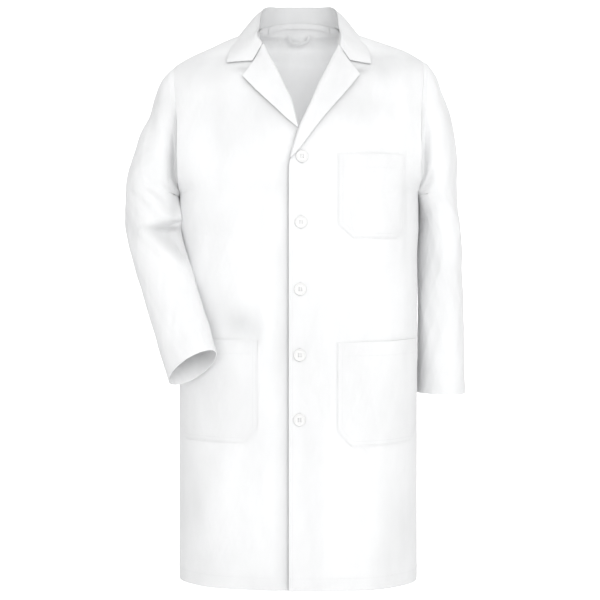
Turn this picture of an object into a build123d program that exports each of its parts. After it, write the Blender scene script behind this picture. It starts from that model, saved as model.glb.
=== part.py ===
from build123d import *
import math
import os

os.makedirs("parts", exist_ok=True)

# Lab coat, held up by its neck. Millimetres; +X wearer's left, -Y front, +Z up.
# It is drawn with its hem at z = 0, and handed over with the neck point as the origin.
CLOTH = 1.6
GAP = 0.2
NECK_POINT_Z = 1000.0
COAT_TOP = 1004.0
HALF_WIDTH = 217.0
HALF_DEPTH = 140.0
ARMHOLE_X = 218.0
UNDERLAP_X = 20.0
FRONT_EDGE_X = -17.5
FACING_X = 45.0
HEM_DEPTH = 25.0
OPEN_SPLIT_Z = 600.0
FOLD_X = 205.0
BUTTON_X = 2.0
BUTTON_Z = [760.0, 645.0, 528.0, 413.0, 300.0]
BUTTON_RADIUS = 11.0
BUTTON_THICK = 3.0
SLOT_WIDTH = 6.4
SLOT_HEIGHT = 24.0
POCKET_DEPTH = 9.0
PIVOT = (214.0, 694.0)
CAP_ANGLE = 68.0
CUFF_HEM = 30.0

# Layers, as offsets from the coat's outer surface (inner, outer)
OUTER = (-CLOTH, 0.0)
INTERLINING = (-2.4, -1.8)
FACING = (-3.6, -2.6)
UNDER = (-5.6, -4.0)
UNDER_INTERLINING = (-6.4, -5.8)
UNDER_FACING = (-7.6, -6.6)
HEM = (-3.4, -1.8)
UNDER_HEM = (-7.4, -5.8)
LAPEL = (1.0, 2.6)

# Torso sections: height, half width, half depth, centre y, share of the offset that goes upwards
TORSO = [
    (0.0, HALF_WIDTH, HALF_DEPTH, 0.0, 0.0),
    (650.0, HALF_WIDTH, HALF_DEPTH, 0.0, 0.0),
    (700.0, 219.0, 138.0, 0.0, 0.0),
    (735.0, 240.0, 136.0, 0.0, 0.1),
    (780.0, 258.0, 131.0, 1.0, 0.2),
    (860.0, 262.0, 118.0, 3.0, 0.4),
    (915.0, 250.0, 98.0, 5.0, 0.6),
    (944.0, 226.0, 82.0, 6.0, 0.8),
    (956.0, 212.0, 76.0, 8.0, 1.0),
    (977.0, 175.0, 70.0, 9.0, 1.0),
    (997.0, 110.0, 64.0, 10.0, 1.0),
    (COAT_TOP, 96.0, 62.0, 10.0, 1.0),
]

# Left sleeve cap, as a fan of planes about the pivot: angle, length, half depth, centre y
LEFT_FAN = [
    (90.0, 252.0, 70.0, 0.0),
    (82.0, 250.0, 71.0, 0.0),
    (78.0, 227.0, 72.0, 0.0),
    (73.8, 208.0, 73.0, 0.0),
    (64.0, 148.0, 74.0, 0.0),
    (51.0, 119.0, 74.0, -1.0),
    (31.0, 89.0, 74.0, -3.0),
    (0.0, 78.0, 72.0, -6.0),
]
RIGHT_FAN = [
    (90.0, 252.0, 70.0, 0.0),
    (85.0, 250.0, 70.0, 0.0),
    (79.5, 229.0, 70.0, 0.0),
    (73.8, 208.0, 69.0, -2.0),
    (65.4, 170.0, 68.0, -4.0),
    (52.3, 140.0, 66.0, -8.0),
    (35.0, 116.0, 64.0, -12.0),
    (9.7, 110.0, 61.0, -16.0),
    (0.0, 110.0, 60.0, -18.0),
]
FAN_START = 6.0

# Left sleeve below the cap: height, centre x, half width, centre y, half depth
LEFT_TUBE = [
    (694.0, 256.0, 36.0, -6.0, 72.0),
    (640.0, 258.0, 38.0, -8.0, 68.0),
    (510.0, 262.0, 41.0, -12.0, 58.0),
    (345.0, 264.5, 44.5, -20.0, 50.0),
]
LEFT_ELBOW = (258.0, -36.0, 620.0)
LEFT_AXIS = Vector(-1.0, 0.0, 0.0)
LEFT_FLEX = 86.0

# Right sleeve: the elbow centre, the cuff centre and the side that folds inwards
RIGHT_TOP = (-272.0, -18.0, 694.0)
RIGHT_BEND = Vector(-274.0, -38.0, 655.0)
RIGHT_CUFF = Vector(-185.0, -150.0, 392.0)
RIGHT_INNER = Vector(0.205, -0.883, 0.419)
RIGHT_HALF_WIDTH = 48.0
RIGHT_HALF_DEPTH = 42.0
RIGHT_HINGE_OFFSET = 22.0
RIGHT_HINGE_DROP = 16.0
RIGHT_FLEX = 81.0


def one(shape):
    """The largest solid of a cut."""
    return max(shape.solids(), key=lambda s: s.volume)


def block(x0, x1, y0, y1, z0, z1):
    return Solid.make_box(x1 - x0, y1 - y0, z1 - z0, Plane(origin=(x0, y0, z0)))


def ellipse_wire(plane, rx, ry):
    return Wire([Edge.make_ellipse(rx, ry, plane=plane)])


def loft(wires):
    return Solid.make_loft(wires, ruled=True)


def torso(offset):
    """The coat's body as a closed solid, its surface moved outwards by offset."""
    wires = []
    for z, a, b, cy, lift in TORSO:
        plane = Plane(origin=(0, cy, z + offset * lift), x_dir=(1, 0, 0), z_dir=(0, 0, 1))
        wires.append(ellipse_wire(plane, a + offset, b + offset))
    return loft(wires)


TORSOS = {}


def layer(inner, outer):
    """A sheet between two offsets of the coat's surface."""
    for d in (inner, outer):
        if d not in TORSOS:
            TORSOS[d] = torso(d)
    return TORSOS[outer] - TORSOS[inner]


def front_prism(points):
    """A prism through the front half, from an outline of (x, z) points."""
    wire = Wire.make_polygon([(x, -300, z) for x, z in points], close=True)
    return Solid.extrude(Face(wire), Vector(0, 299.8, 0))


def section_at(z):
    """Half width, half depth and centre y of the torso at a height."""
    for low, high in zip(TORSO, TORSO[1:]):
        if low[0] <= z <= high[0]:
            t = (z - low[0]) / (high[0] - low[0])
            return [low[i] + t * (high[i] - low[i]) for i in (1, 2, 3)]
    return list(TORSO[-1][1:4])


def front_y(x, z, offset=0.0):
    a, b, cy = section_at(z)
    return cy - (b + offset) * math.sqrt(max(0.0, 1 - (x / (a + offset)) ** 2))


def neck_hole():
    plane = Plane(origin=(0, 1, 940), x_dir=(1, 0, 0), z_dir=(0, 0, 1))
    return Solid.extrude(Face(ellipse_wire(plane, 78.0, 66.0)), Vector(0, 0, 200))


SIDES = block(-ARMHOLE_X, ARMHOLE_X, -300, 300, -10, 1100)
NECK = neck_hole()


def back_half(sign, inner, outer, z0, z1):
    x0, x1 = (0.15, 300) if sign > 0 else (-300, -0.15)
    return (layer(inner, outer) & SIDES & block(x0, x1, 0.15, 300, z0, z1)) - NECK


def back_panel(sign):
    return one(back_half(sign, *OUTER, 0.0, 1100.0))


def back_hem(sign):
    piece = back_half(sign, *HEM, 0.0, HEM_DEPTH)
    return one(piece & block(-300, 300, 3, 300, 0, 300))


# Fronts
LEFT_FRONT = [
    (FRONT_EDGE_X, 0), (300, 0), (300, 1100), (78, 1100), (60, 950), (37, 893),
    (0, 808), (-14, 759), (FRONT_EDGE_X, 745),
]
RIGHT_FRONT = [
    (UNDERLAP_X, 0), (-300, 0), (-300, 1100), (-78, 1100), (-64, 968), (-41, 924),
    (-10.5, 861), (0, 812), (UNDERLAP_X, 770),
]


def button_slots(wide, tall):
    return [block(BUTTON_X - wide / 2, BUTTON_X + wide / 2, -300, 0, z - tall / 2, z + tall / 2)
            for z in BUTTON_Z]


def with_slots(piece):
    for slot in button_slots(SLOT_WIDTH, SLOT_HEIGHT):
        piece = piece - slot
    return piece


def left_front_sheet(inner, outer):
    return (layer(inner, outer) & SIDES & front_prism(LEFT_FRONT)) - NECK


def left_front_chest():
    return one(with_slots(left_front_sheet(*OUTER) & block(-300, 300, -300, 0, OPEN_SPLIT_Z + GAP, 1100)))


def left_front_skirt():
    piece = left_front_sheet(*OUTER) & block(-300, FOLD_X - GAP, -300, 0, 0, OPEN_SPLIT_Z)
    return one(with_slots(piece))


def left_front_side():
    return one(left_front_sheet(*OUTER) & block(FOLD_X, 300, -300, 0, 0, OPEN_SPLIT_Z))


def right_front_panel():
    return one((layer(*UNDER) & SIDES & front_prism(RIGHT_FRONT)) - NECK)


def left_strip(inner, outer, z0, z1):
    strip = left_front_sheet(inner, outer) & block(FRONT_EDGE_X, FACING_X, -300, 0, z0, z1)
    return one(with_slots(strip))


def right_strip(inner, outer):
    piece = layer(inner, outer) & SIDES & front_prism(RIGHT_FRONT)
    return one((piece - NECK) & block(-40, UNDERLAP_X, -300, 0, 0, 800))


def left_front_hem():
    return one(layer(*HEM) & block(FACING_X + 1, FOLD_X - 1, -300, 0, 0, HEM_DEPTH))


def right_front_hem():
    return one(layer(*UNDER_HEM) & block(-300, -41, -300, -3, 0, HEM_DEPTH))


# Lapels
LEFT_LAPEL = [(73, 966), (88, 932), (108, 904), (48, 835), (2, 776), (-13, 760), (0, 808), (37, 893), (60, 948)]
RIGHT_LAPEL = [(-66, 966), (-81, 932), (-101, 904), (-3, 814), (-10.5, 861), (-41, 924)]


def lapel(outline):
    return one((layer(*LAPEL) & front_prism(outline)) - NECK)


# Collar: sections round the neck, from the front end to the back centre, as
# (stand foot, fold, leaf edge)
COLLAR = [
    ((70, -46, 968), (90, front_y(90, 937, 4.0), 937), (127, front_y(127, 929, 4.0), 929)),
    ((71, -40, 978), (79, front_y(79, 958, 5.0), 960), (125, front_y(125, 950, 4.0), 950)),
    ((72, -28, 990), (73, -48, 988), (121, -42, 978)),
    ((73, 0, 1001), (69, 0, 1034), (113, 6, 1000)),
    ((56, 42, 1010), (50, 42, 1050), (84, 76, 998)),
    ((30, 58, 1016), (26, 54, 1056), (42, 92, 998)),
    ((0, 63, 1018), (0, 58, 1057), (0, 96, 998)),
]


def collar_rows():
    left = [[Vector(*p) for p in row] for row in COLLAR]
    right = [[Vector(-p.X, p.Y, p.Z) for p in row] for row in left[-2::-1]]
    return left + right


def collar_sheet(upper, lower, inner, outer):
    """A strip of the collar between two of its lines, offset along its own normal."""
    rows = collar_rows()
    wires = []
    for i, row in enumerate(rows):
        before = rows[max(i - 1, 0)][upper]
        after = rows[min(i + 1, len(rows) - 1)][upper]
        run = after - before
        drop = row[lower] - row[upper]
        normal = drop.cross(run).normalized()
        if upper < lower and normal.Z < 0:
            normal = normal * -1
        corners = [
            row[upper] + normal * inner, row[lower] + normal * inner,
            row[lower] + normal * outer, row[upper] + normal * outer,
        ]
        wires.append(Wire.make_polygon(corners, close=True))
    return one(loft(wires) - collar_seat())


def collar_seat():
    """The cloth the collar lies on, with a little clearance."""
    return layer(OUTER[0] - 0.3, 0.3) - NECK


def collar_stand():
    rows = collar_rows()
    wires = []
    for row in rows:
        foot, fold = row[0], row[1]
        toward = Vector(-foot.X, -foot.Y, 0).normalized()
        low = foot + toward * 1.0
        high = Vector(fold.X, fold.Y, fold.Z) + toward * 2.6 - Vector(0, 0, 2.0)
        wires.append(Wire.make_polygon([low, high, high + toward * CLOTH, low + toward * CLOTH], close=True))
    lapels = layer(LAPEL[0] - 0.2, LAPEL[1] + 0.2)
    band = loft(wires) - collar_seat()
    return one(band - (lapels & front_prism(LEFT_LAPEL)) - (lapels & front_prism(RIGHT_LAPEL)))


# Pockets
CHEST_POCKET = [(70, 765), (185, 765), (185, 632), (170, 617), (85, 617), (70, 632)]
LEFT_POCKET = [(68, 434), (199, 434), (199, 280), (180, 254), (94, 254), (68, 280)]
RIGHT_POCKET = [(-73, 434), (-199, 434), (-199, 280), (-180, 254), (-99, 254), (-73, 280)]
STITCH_MARGIN = 6.0


def inset(outline, margin, top):
    """The outline drawn in by a margin at the sides and foot, open at the top."""
    xs = [p[0] for p in outline]
    zs = [p[1] for p in outline]
    mid = (min(xs) + max(xs)) / 2
    low = min(zs)
    points = []
    for x, z in outline:
        moved_x = x + margin if x < mid else x - margin
        moved_z = top if z == max(zs) else z + margin * (1.0 if z == low else 0.4)
        points.append((moved_x, moved_z))
    return points


def pocket(outline, base):
    sheet = layer(base + GAP, base + GAP + POCKET_DEPTH + CLOTH) & front_prism(outline)
    hollow = layer(base + GAP - 1, base + GAP + POCKET_DEPTH) & front_prism(inset(outline, STITCH_MARGIN, 1000))
    return one(sheet - hollow)


def pocket_hem(outline, base):
    """The folded band inside the pocket's mouth."""
    top = max(p[1] for p in outline)
    band = front_prism(inset(outline, STITCH_MARGIN + 0.5, 1000)) & block(-300, 300, -300, 0, top - 25, top)
    outer = base + GAP + POCKET_DEPTH - GAP
    return one(layer(outer - 1.2, outer) & band)


# Buttons
def button_back(z):
    """The button's back face, just clear of the cloth over its whole height."""
    return min(front_y(BUTTON_X, z + dz) for dz in (-BUTTON_RADIUS, 0.0, BUTTON_RADIUS)) - 0.8


def button(z):
    """A four-hole button with a raised rim, facing forwards."""
    back = button_back(z)
    plane = Plane(origin=(BUTTON_X, back, z), x_dir=(1, 0, 0), z_dir=(0, -1, 0))
    disc = Solid.make_cylinder(BUTTON_RADIUS, BUTTON_THICK, plane)
    dish = plane.offset(BUTTON_THICK - 0.8)
    disc = disc - Solid.make_cylinder(BUTTON_RADIUS - 2.5, 2.0, dish)
    for dx, dz in hole_spots():
        hole = Plane(origin=(BUTTON_X + dx, back + 1, z + dz), x_dir=(1, 0, 0), z_dir=(0, -1, 0))
        disc = disc - Solid.make_cylinder(1.0, BUTTON_THICK + 2, hole)
    return one(disc)


def hole_spots():
    return [(sx * 2.2, sz * 2.2) for sx in (-1, 1) for sz in (-1, 1)]


def button_thread(z):
    """The shank through the buttonhole, and the four strands through the button."""
    surface = front_y(BUTTON_X, z)
    foot = min(front_y(BUTTON_X, z - 3, UNDER[1]), front_y(BUTTON_X, z + 3, UNDER[1])) - 0.1
    head = button_back(z) - BUTTON_THICK + 0.7
    shank_plane = Plane(origin=(BUTTON_X, foot, z), x_dir=(1, 0, 0), z_dir=(0, -1, 0))
    shape = Solid.make_cylinder(1.9, foot - (surface - 0.1), shank_plane)
    plate = block(BUTTON_X - 2.4, BUTTON_X + 2.4, button_back(z) + 0.1, surface, z - 3.0, z + 3.0)
    shape = shape + plate
    for dx, dz in hole_spots():
        strand = Plane(origin=(BUTTON_X + dx * 0.99, surface, z + dz), x_dir=(1, 0, 0), z_dir=(0, -1, 0))
        shape = shape + Solid.make_cylinder(0.7, surface - head, strand)
    for sx in (-1, 1):
        x = BUTTON_X + sx * 2.2
        shape = shape + block(x - 0.7, x + 0.7, head - 0.7, head, z - 2.9, z + 2.9)
    return one(shape)


def buttonhole(z):
    """The stitched border of one buttonhole, on the outer face."""
    half, tall = SLOT_WIDTH / 2, SLOT_HEIGHT / 2
    frame = block(BUTTON_X - half - 2, BUTTON_X + half + 2, -300, 0, z - tall - 2, z + tall + 2)
    slot = block(BUTTON_X - half, BUTTON_X + half, -300, 0, z - tall, z + tall)
    return one((layer(0.1, 0.5) & frame) - slot)


# Sleeves
def fan_wire(sign, entry, shrink):
    angle, length, depth, cy = entry
    c, s = math.cos(math.radians(angle)), math.sin(math.radians(angle))
    out = Vector(sign * c, 0, s)
    middle = (FAN_START + length) / 2
    origin = Vector(sign * PIVOT[0], cy, PIVOT[1]) + out * middle
    plane = Plane(origin=origin, x_dir=out, z_dir=Vector(sign * s, 0, -c))
    return ellipse_wire(plane, (length - FAN_START) / 2 - shrink, depth - shrink)


def fan_tube(sign, shrink):
    fan = LEFT_FAN if sign > 0 else RIGHT_FAN
    return loft([fan_wire(sign, entry, shrink) for entry in fan])


def wedge(sign, low, high):
    """The space between two planes through the pivot, at two angles above the horizontal."""
    px, pz = PIVOT
    points = [(sign * px, -200, pz)]
    for angle in (low, (low + high) / 2, high):
        a = math.radians(angle)
        points.append((sign * (px + 600 * math.cos(a)), -200, pz + 600 * math.sin(a)))
    return Solid.extrude(Face(Wire.make_polygon(points, close=True)), Vector(0, 400, 0))


def sleeve_cap(sign):
    shell = fan_tube(sign, 0.0) - fan_tube(sign, CLOTH)
    near = ARMHOLE_X + 0.4
    keep = block(near, 600, -200, 200, 600, 1100) if sign > 0 else block(-600, -near, -200, 200, 600, 1100)
    return one(shell & wedge(sign, CAP_ANGLE, 90.0) & keep)


def shoulder_fold(sign):
    shell = fan_tube(sign, 0.0) - fan_tube(sign, CLOTH)
    near = ARMHOLE_X + 0.4
    keep = block(near, 600, -200, 200, 600, 1100) if sign > 0 else block(-600, -near, -200, 200, 600, 1100)
    return one(shell & wedge(sign, 0.3, CAP_ANGLE - 0.3) & keep)


def left_tube(shrink):
    wires = []
    for z, cx, hx, cy, hy in LEFT_TUBE:
        plane = Plane(origin=(cx, cy, z), x_dir=(1, 0, 0), z_dir=(0, 0, -1))
        wires.append(ellipse_wire(plane, hx - shrink, hy - shrink))
    return loft(wires)


def right_frame():
    """Forearm direction, hinge axis and inner side of the bent sleeve."""
    along = (RIGHT_CUFF - RIGHT_BEND).normalized()
    inner = (RIGHT_INNER - along * RIGHT_INNER.dot(along)).normalized()
    axis = along.cross(inner)
    return along, inner, axis


def right_hinge():
    along, inner, axis = right_frame()
    return RIGHT_BEND + inner * RIGHT_HINGE_OFFSET + along * RIGHT_HINGE_DROP


def right_tube(shrink):
    along, inner, axis = right_frame()
    length = (RIGHT_CUFF - RIGHT_BEND).length
    top = Plane(origin=RIGHT_TOP, x_dir=(-1, 0, 0), z_dir=(0, 0, -1))
    bend = Plane(origin=RIGHT_BEND, x_dir=axis, z_dir=(Vector(0, 0, -1) + along).normalized())
    wires = [ellipse_wire(top, 52.0 - shrink, 60.0 - shrink), ellipse_wire(bend, 49.0 - shrink, 51.0 - shrink)]
    for share, depth in ((0.22, 44.0), (0.6, RIGHT_HALF_DEPTH), (1.0, RIGHT_HALF_DEPTH + 1)):
        plane = Plane(origin=RIGHT_BEND + along * (length * share), x_dir=axis, z_dir=along)
        wires.append(ellipse_wire(plane, RIGHT_HALF_WIDTH - shrink, depth - shrink))
    return loft(wires)


def gusset(hinge, along, inner, axis, half_angle):
    """The wedge on a sleeve's inner side that closes as the elbow folds."""
    reach = 160.0
    rise = along * (reach * math.tan(math.radians(half_angle)))
    side = axis * 120.0
    points = [hinge + side, hinge + side + inner * reach + rise, hinge + side + inner * reach - rise]
    return Solid.extrude(Face(Wire.make_polygon(points, close=True)), axis * -240.0)


def half_space(hinge, along, axis, inner):
    """Everything on the hand's side of the plane through the hinge."""
    side = 700.0
    base = [
        hinge + axis * side + inner * side, hinge - axis * side + inner * side,
        hinge - axis * side - inner * side, hinge + axis * side - inner * side,
    ]
    return Solid.extrude(Face(Wire.make_polygon(base, close=True)), along * 900.0)


def sleeve_frames(sign):
    if sign > 0:
        return Vector(*LEFT_ELBOW), Vector(0, 0, -1), Vector(0, -1, 0), LEFT_AXIS, LEFT_FLEX / 2 + 0.5
    along, inner, axis = right_frame()
    return right_hinge(), along, inner, axis, RIGHT_FLEX / 2 + 0.5


def sleeve_shell(sign, outer, inner):
    make = left_tube if sign > 0 else right_tube
    return make(outer) - make(inner)


def upper_sleeve(sign):
    hinge, along, inner, axis, half_angle = sleeve_frames(sign)
    below = half_space(hinge + along * -GAP, along, axis, inner)
    top = block(-600, 600, -300, 300, 0, PIVOT[1] - 0.4)
    shell = (sleeve_shell(sign, 0.0, CLOTH) & top) - below
    return one(shell - gusset(hinge, along, inner, axis, half_angle))


def lower_sleeve(sign):
    hinge, along, inner, axis, half_angle = sleeve_frames(sign)
    below = half_space(hinge + along * GAP, along, axis, inner)
    shell = sleeve_shell(sign, 0.0, CLOTH) & below
    return one(shell - gusset(hinge, along, inner, axis, half_angle))


def elbow_fold(sign):
    hinge, along, inner, axis, half_angle = sleeve_frames(sign)
    shell = sleeve_shell(sign, 0.2, CLOTH - 0.2)
    return one(shell & gusset(hinge + inner * 1.0, along, inner, axis, half_angle - 1.0))


def cuff_hem(sign):
    hinge, along, inner, axis, half_angle = sleeve_frames(sign)
    cuff = Vector(264.5, -20.0, 345.0) if sign > 0 else RIGHT_CUFF
    band = half_space(cuff - along * CUFF_HEM, along, axis, inner)
    return one(sleeve_shell(sign, CLOTH + GAP, 2 * CLOTH + GAP) & band)


def hanger_loop():
    """A narrow tape loop at the back of the neck."""
    y = 57.0
    outer = block(-22, 22, y - 1.4, y, 992, 1012)
    hole = block(-17, 17, y - 5, y + 5, 996.5, 1007.5)
    return one(outer - hole)


def neck_tape():
    """The tape that covers the back neck seam."""
    outer = Plane(origin=(0, 1, 998), x_dir=(1, 0, 0), z_dir=(0, 0, 1))
    ring = Solid.extrude(Face(ellipse_wire(outer, 76.0, 61.0)), Vector(0, 0, 12))
    hole = Solid.extrude(Face(ellipse_wire(outer, 75.0, 60.0)), Vector(0, 0, 12))
    return one((ring - hole) & block(-60, 60, 20, 100, 900, 1100))


PARTS = {
    "back_left_panel": back_panel(1),
    "back_right_panel": back_panel(-1),
    "back_left_hem": back_hem(1),
    "back_right_hem": back_hem(-1),
    "left_front_chest": left_front_chest(),
    "left_front_skirt": left_front_skirt(),
    "left_front_side": left_front_side(),
    "left_front_hem": left_front_hem(),
    "left_facing_chest": left_strip(*FACING, OPEN_SPLIT_Z + GAP, 800.0),
    "left_facing_skirt": left_strip(*FACING, 0.0, OPEN_SPLIT_Z),
    "left_interlining_chest": left_strip(*INTERLINING, OPEN_SPLIT_Z + GAP, 800.0),
    "left_interlining_skirt": left_strip(*INTERLINING, 0.0, OPEN_SPLIT_Z),
    "right_front_panel": right_front_panel(),
    "right_front_hem": right_front_hem(),
    "right_facing": right_strip(*UNDER_FACING),
    "right_interlining": right_strip(*UNDER_INTERLINING),
    "left_lapel": lapel(LEFT_LAPEL),
    "right_lapel": lapel(RIGHT_LAPEL),
    "upper_collar": collar_sheet(1, 2, 2.6, 4.0),
    "collar_interlining": collar_sheet(1, 2, 1.9, 2.4),
    "under_collar": collar_sheet(1, 2, 0.5, 1.7),
    "collar_stand": collar_stand(),
    "neck_tape": neck_tape(),
    "hanger_loop": hanger_loop(),
    "chest_pocket": pocket(CHEST_POCKET, 0.0),
    "chest_pocket_hem": pocket_hem(CHEST_POCKET, 0.0),
    "left_pocket": pocket(LEFT_POCKET, 0.0),
    "left_pocket_hem": pocket_hem(LEFT_POCKET, 0.0),
    "right_pocket": pocket(RIGHT_POCKET, UNDER[1]),
    "right_pocket_hem": pocket_hem(RIGHT_POCKET, UNDER[1]),
}
for side, sign in (("left", 1), ("right", -1)):
    PARTS[side + "_sleeve_cap"] = sleeve_cap(sign)
    PARTS[side + "_shoulder_fold"] = shoulder_fold(sign)
    PARTS[side + "_upper_sleeve"] = upper_sleeve(sign)
    PARTS[side + "_elbow_fold"] = elbow_fold(sign)
    PARTS[side + "_lower_sleeve"] = lower_sleeve(sign)
    PARTS[side + "_cuff_hem"] = cuff_hem(sign)
for number, z in enumerate(BUTTON_Z, start=1):
    PARTS["button_%d" % number] = button(z)
    PARTS["button_%d_thread" % number] = button_thread(z)
    PARTS["buttonhole_%d" % number] = buttonhole(z)

for node, shape in PARTS.items():
    export_step(shape.moved(Location((0, 0, -NECK_POINT_Z))), "parts/%s.step" % node)
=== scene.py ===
import math

import bpy
import numpy as np
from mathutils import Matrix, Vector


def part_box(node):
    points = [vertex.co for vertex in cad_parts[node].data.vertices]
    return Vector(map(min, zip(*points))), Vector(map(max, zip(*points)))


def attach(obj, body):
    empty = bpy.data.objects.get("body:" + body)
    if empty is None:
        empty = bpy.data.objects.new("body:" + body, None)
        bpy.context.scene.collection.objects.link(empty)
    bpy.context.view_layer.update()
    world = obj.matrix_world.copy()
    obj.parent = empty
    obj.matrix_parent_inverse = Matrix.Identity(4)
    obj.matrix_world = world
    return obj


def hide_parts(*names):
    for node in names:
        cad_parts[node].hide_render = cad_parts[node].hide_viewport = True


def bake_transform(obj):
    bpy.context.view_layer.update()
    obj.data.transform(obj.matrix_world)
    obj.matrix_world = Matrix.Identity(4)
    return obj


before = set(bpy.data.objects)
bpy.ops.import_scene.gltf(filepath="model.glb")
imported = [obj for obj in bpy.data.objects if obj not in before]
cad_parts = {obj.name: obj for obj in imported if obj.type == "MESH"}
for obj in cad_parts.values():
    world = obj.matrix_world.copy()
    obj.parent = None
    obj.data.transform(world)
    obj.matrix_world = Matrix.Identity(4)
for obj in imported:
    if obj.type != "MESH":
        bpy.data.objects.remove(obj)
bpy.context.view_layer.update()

# Heights in this script are metres above the hem; the frame's origin is the neck point.
HEM_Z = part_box("back_left_panel")[0][2]
CLOTH = 0.0006
ARMHOLE_X = 0.2185
PIVOT = (0.214, 0.694)
FAN_START = 0.004
UP = np.array([0.0, 0.0, 1.0])


# ---------------------------------------------------------------- maths
def pchip(table, column=1):
    """A smooth curve through a table's points that never overshoots them."""
    xs = np.array([row[0] for row in table], float)
    ys = np.array([row[column] for row in table], float)
    h = np.diff(xs)
    d = np.diff(ys) / h
    m = np.zeros(len(xs))
    m[0], m[-1] = d[0], d[-1]
    for i in range(1, len(xs) - 1):
        if d[i - 1] * d[i] > 0:
            w1, w2 = 2 * h[i] + h[i - 1], h[i] + 2 * h[i - 1]
            m[i] = (w1 + w2) / (w1 / d[i - 1] + w2 / d[i])

    def curve(x):
        x = np.clip(np.asarray(x, float), xs[0], xs[-1])
        i = np.clip(np.searchsorted(xs, x) - 1, 0, len(h) - 1)
        t = (x - xs[i]) / h[i]
        a = (1 + 2 * t) * (1 - t) ** 2 * ys[i] + t * (1 - t) ** 2 * h[i] * m[i]
        return a + t * t * (3 - 2 * t) * ys[i + 1] + t * t * (t - 1) * h[i] * m[i + 1]

    return curve


def step(x, low, high):
    t = np.clip((np.asarray(x, float) - low) / (high - low), 0, 1)
    return t * t * (3 - 2 * t)


def bell(x, centre, width):
    return np.exp(-((np.asarray(x, float) - centre) / width) ** 2)


def unit(v):
    return v / np.maximum(np.linalg.norm(v, axis=-1, keepdims=True), 1e-12)


def catmull(points, samples):
    """Rows of samples along a smooth curve through the points."""
    pts = np.asarray(points, float)
    pts = np.concatenate([2 * pts[:1] - pts[1:2], pts, 2 * pts[-1:] - pts[-2:-1]])
    t = np.clip(np.asarray(samples, float), 0, len(points) - 1 - 1e-9)
    i = t.astype(int)
    f = (t - i).reshape((-1,) + (1,) * (pts.ndim - 1))
    p0, p1, p2, p3 = pts[i], pts[i + 1], pts[i + 2], pts[i + 3]
    return 0.5 * (2 * p1 + (p2 - p0) * f + (2 * p0 - 5 * p1 + 4 * p2 - p3) * f ** 2
                  + (3 * p1 - 3 * p2 + p3 - p0) * f ** 3)


def ripple(u, v, seed):
    """Soft irregular waves, about -1 to 1, from sines whose phases come from the seed."""
    rng = np.random.default_rng(seed)
    total = 0
    for octave in range(5):
        fu, fv = rng.uniform(0.6, 1.4, 2) * 1.6 ** octave
        pu, pv = rng.uniform(0, 2 * math.pi, 2)
        turn = rng.uniform(-0.6, 0.6)
        total = total + np.sin(u * fu + turn * v + pu) * np.cos(v * fv - turn * u + pv) / 1.5 ** octave
    return total / 2.2


# ---------------------------------------------------------------- the coat's body
# height, half width, front half depth, back half depth, centre y
PROFILE = [
    (0.000, 0.2170, 0.140, 0.139, 0.000),
    (0.300, 0.2170, 0.140, 0.138, 0.000),
    (0.600, 0.2175, 0.140, 0.136, 0.000),
    (0.645, 0.2192, 0.1395, 0.136, 0.000),
    (0.680, 0.2192, 0.1390, 0.136, 0.000),
    (0.700, 0.2186, 0.138, 0.137, 0.000),
    (0.735, 0.2400, 0.136, 0.137, 0.000),
    (0.780, 0.2580, 0.131, 0.134, 0.001),
    (0.860, 0.2620, 0.118, 0.124, 0.003),
    (0.915, 0.2520, 0.098, 0.104, 0.005),
    (0.932, 0.2430, 0.089, 0.095, 0.006),
    (0.9445, 0.2310, 0.082, 0.088, 0.007),
    (0.9530, 0.2190, 0.077, 0.083, 0.008),
    (0.9640, 0.2000, 0.073, 0.078, 0.009),
    (0.9780, 0.1650, 0.068, 0.071, 0.009),
    (0.9900, 0.1360, 0.065, 0.067, 0.010),
    (1.0005, 0.1060, 0.063, 0.064, 0.010),
    (1.0090, 0.0800, 0.060, 0.061, 0.010),
    (1.0360, 0.0750, 0.056, 0.056, 0.010),
]
NECK_TOP = 1.009
BACK_NECK = 1.034
BODY = [pchip(PROFILE, k) for k in range(1, 5)]
LEFT_EDGE = pchip([(0, -0.0175), (0.740, -0.0175), (0.759, -0.0140), (0.808, 0.0), (0.861, 0.0235),
                   (0.893, 0.0370), (0.924, 0.0520), (0.950, 0.0640), (0.968, 0.0725), (0.990, 0.0745),
                   (NECK_TOP, 0.0750)])
RIGHT_EDGE = pchip([(0, 0.020), (0.752, 0.020), (0.770, 0.0165), (0.810, 0.0), (0.861, -0.0135),
                    (0.893, -0.0280), (0.924, -0.0420), (0.950, -0.0560), (0.970, -0.0650),
                    (0.990, -0.0725), (NECK_TOP, -0.0740)])


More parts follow.
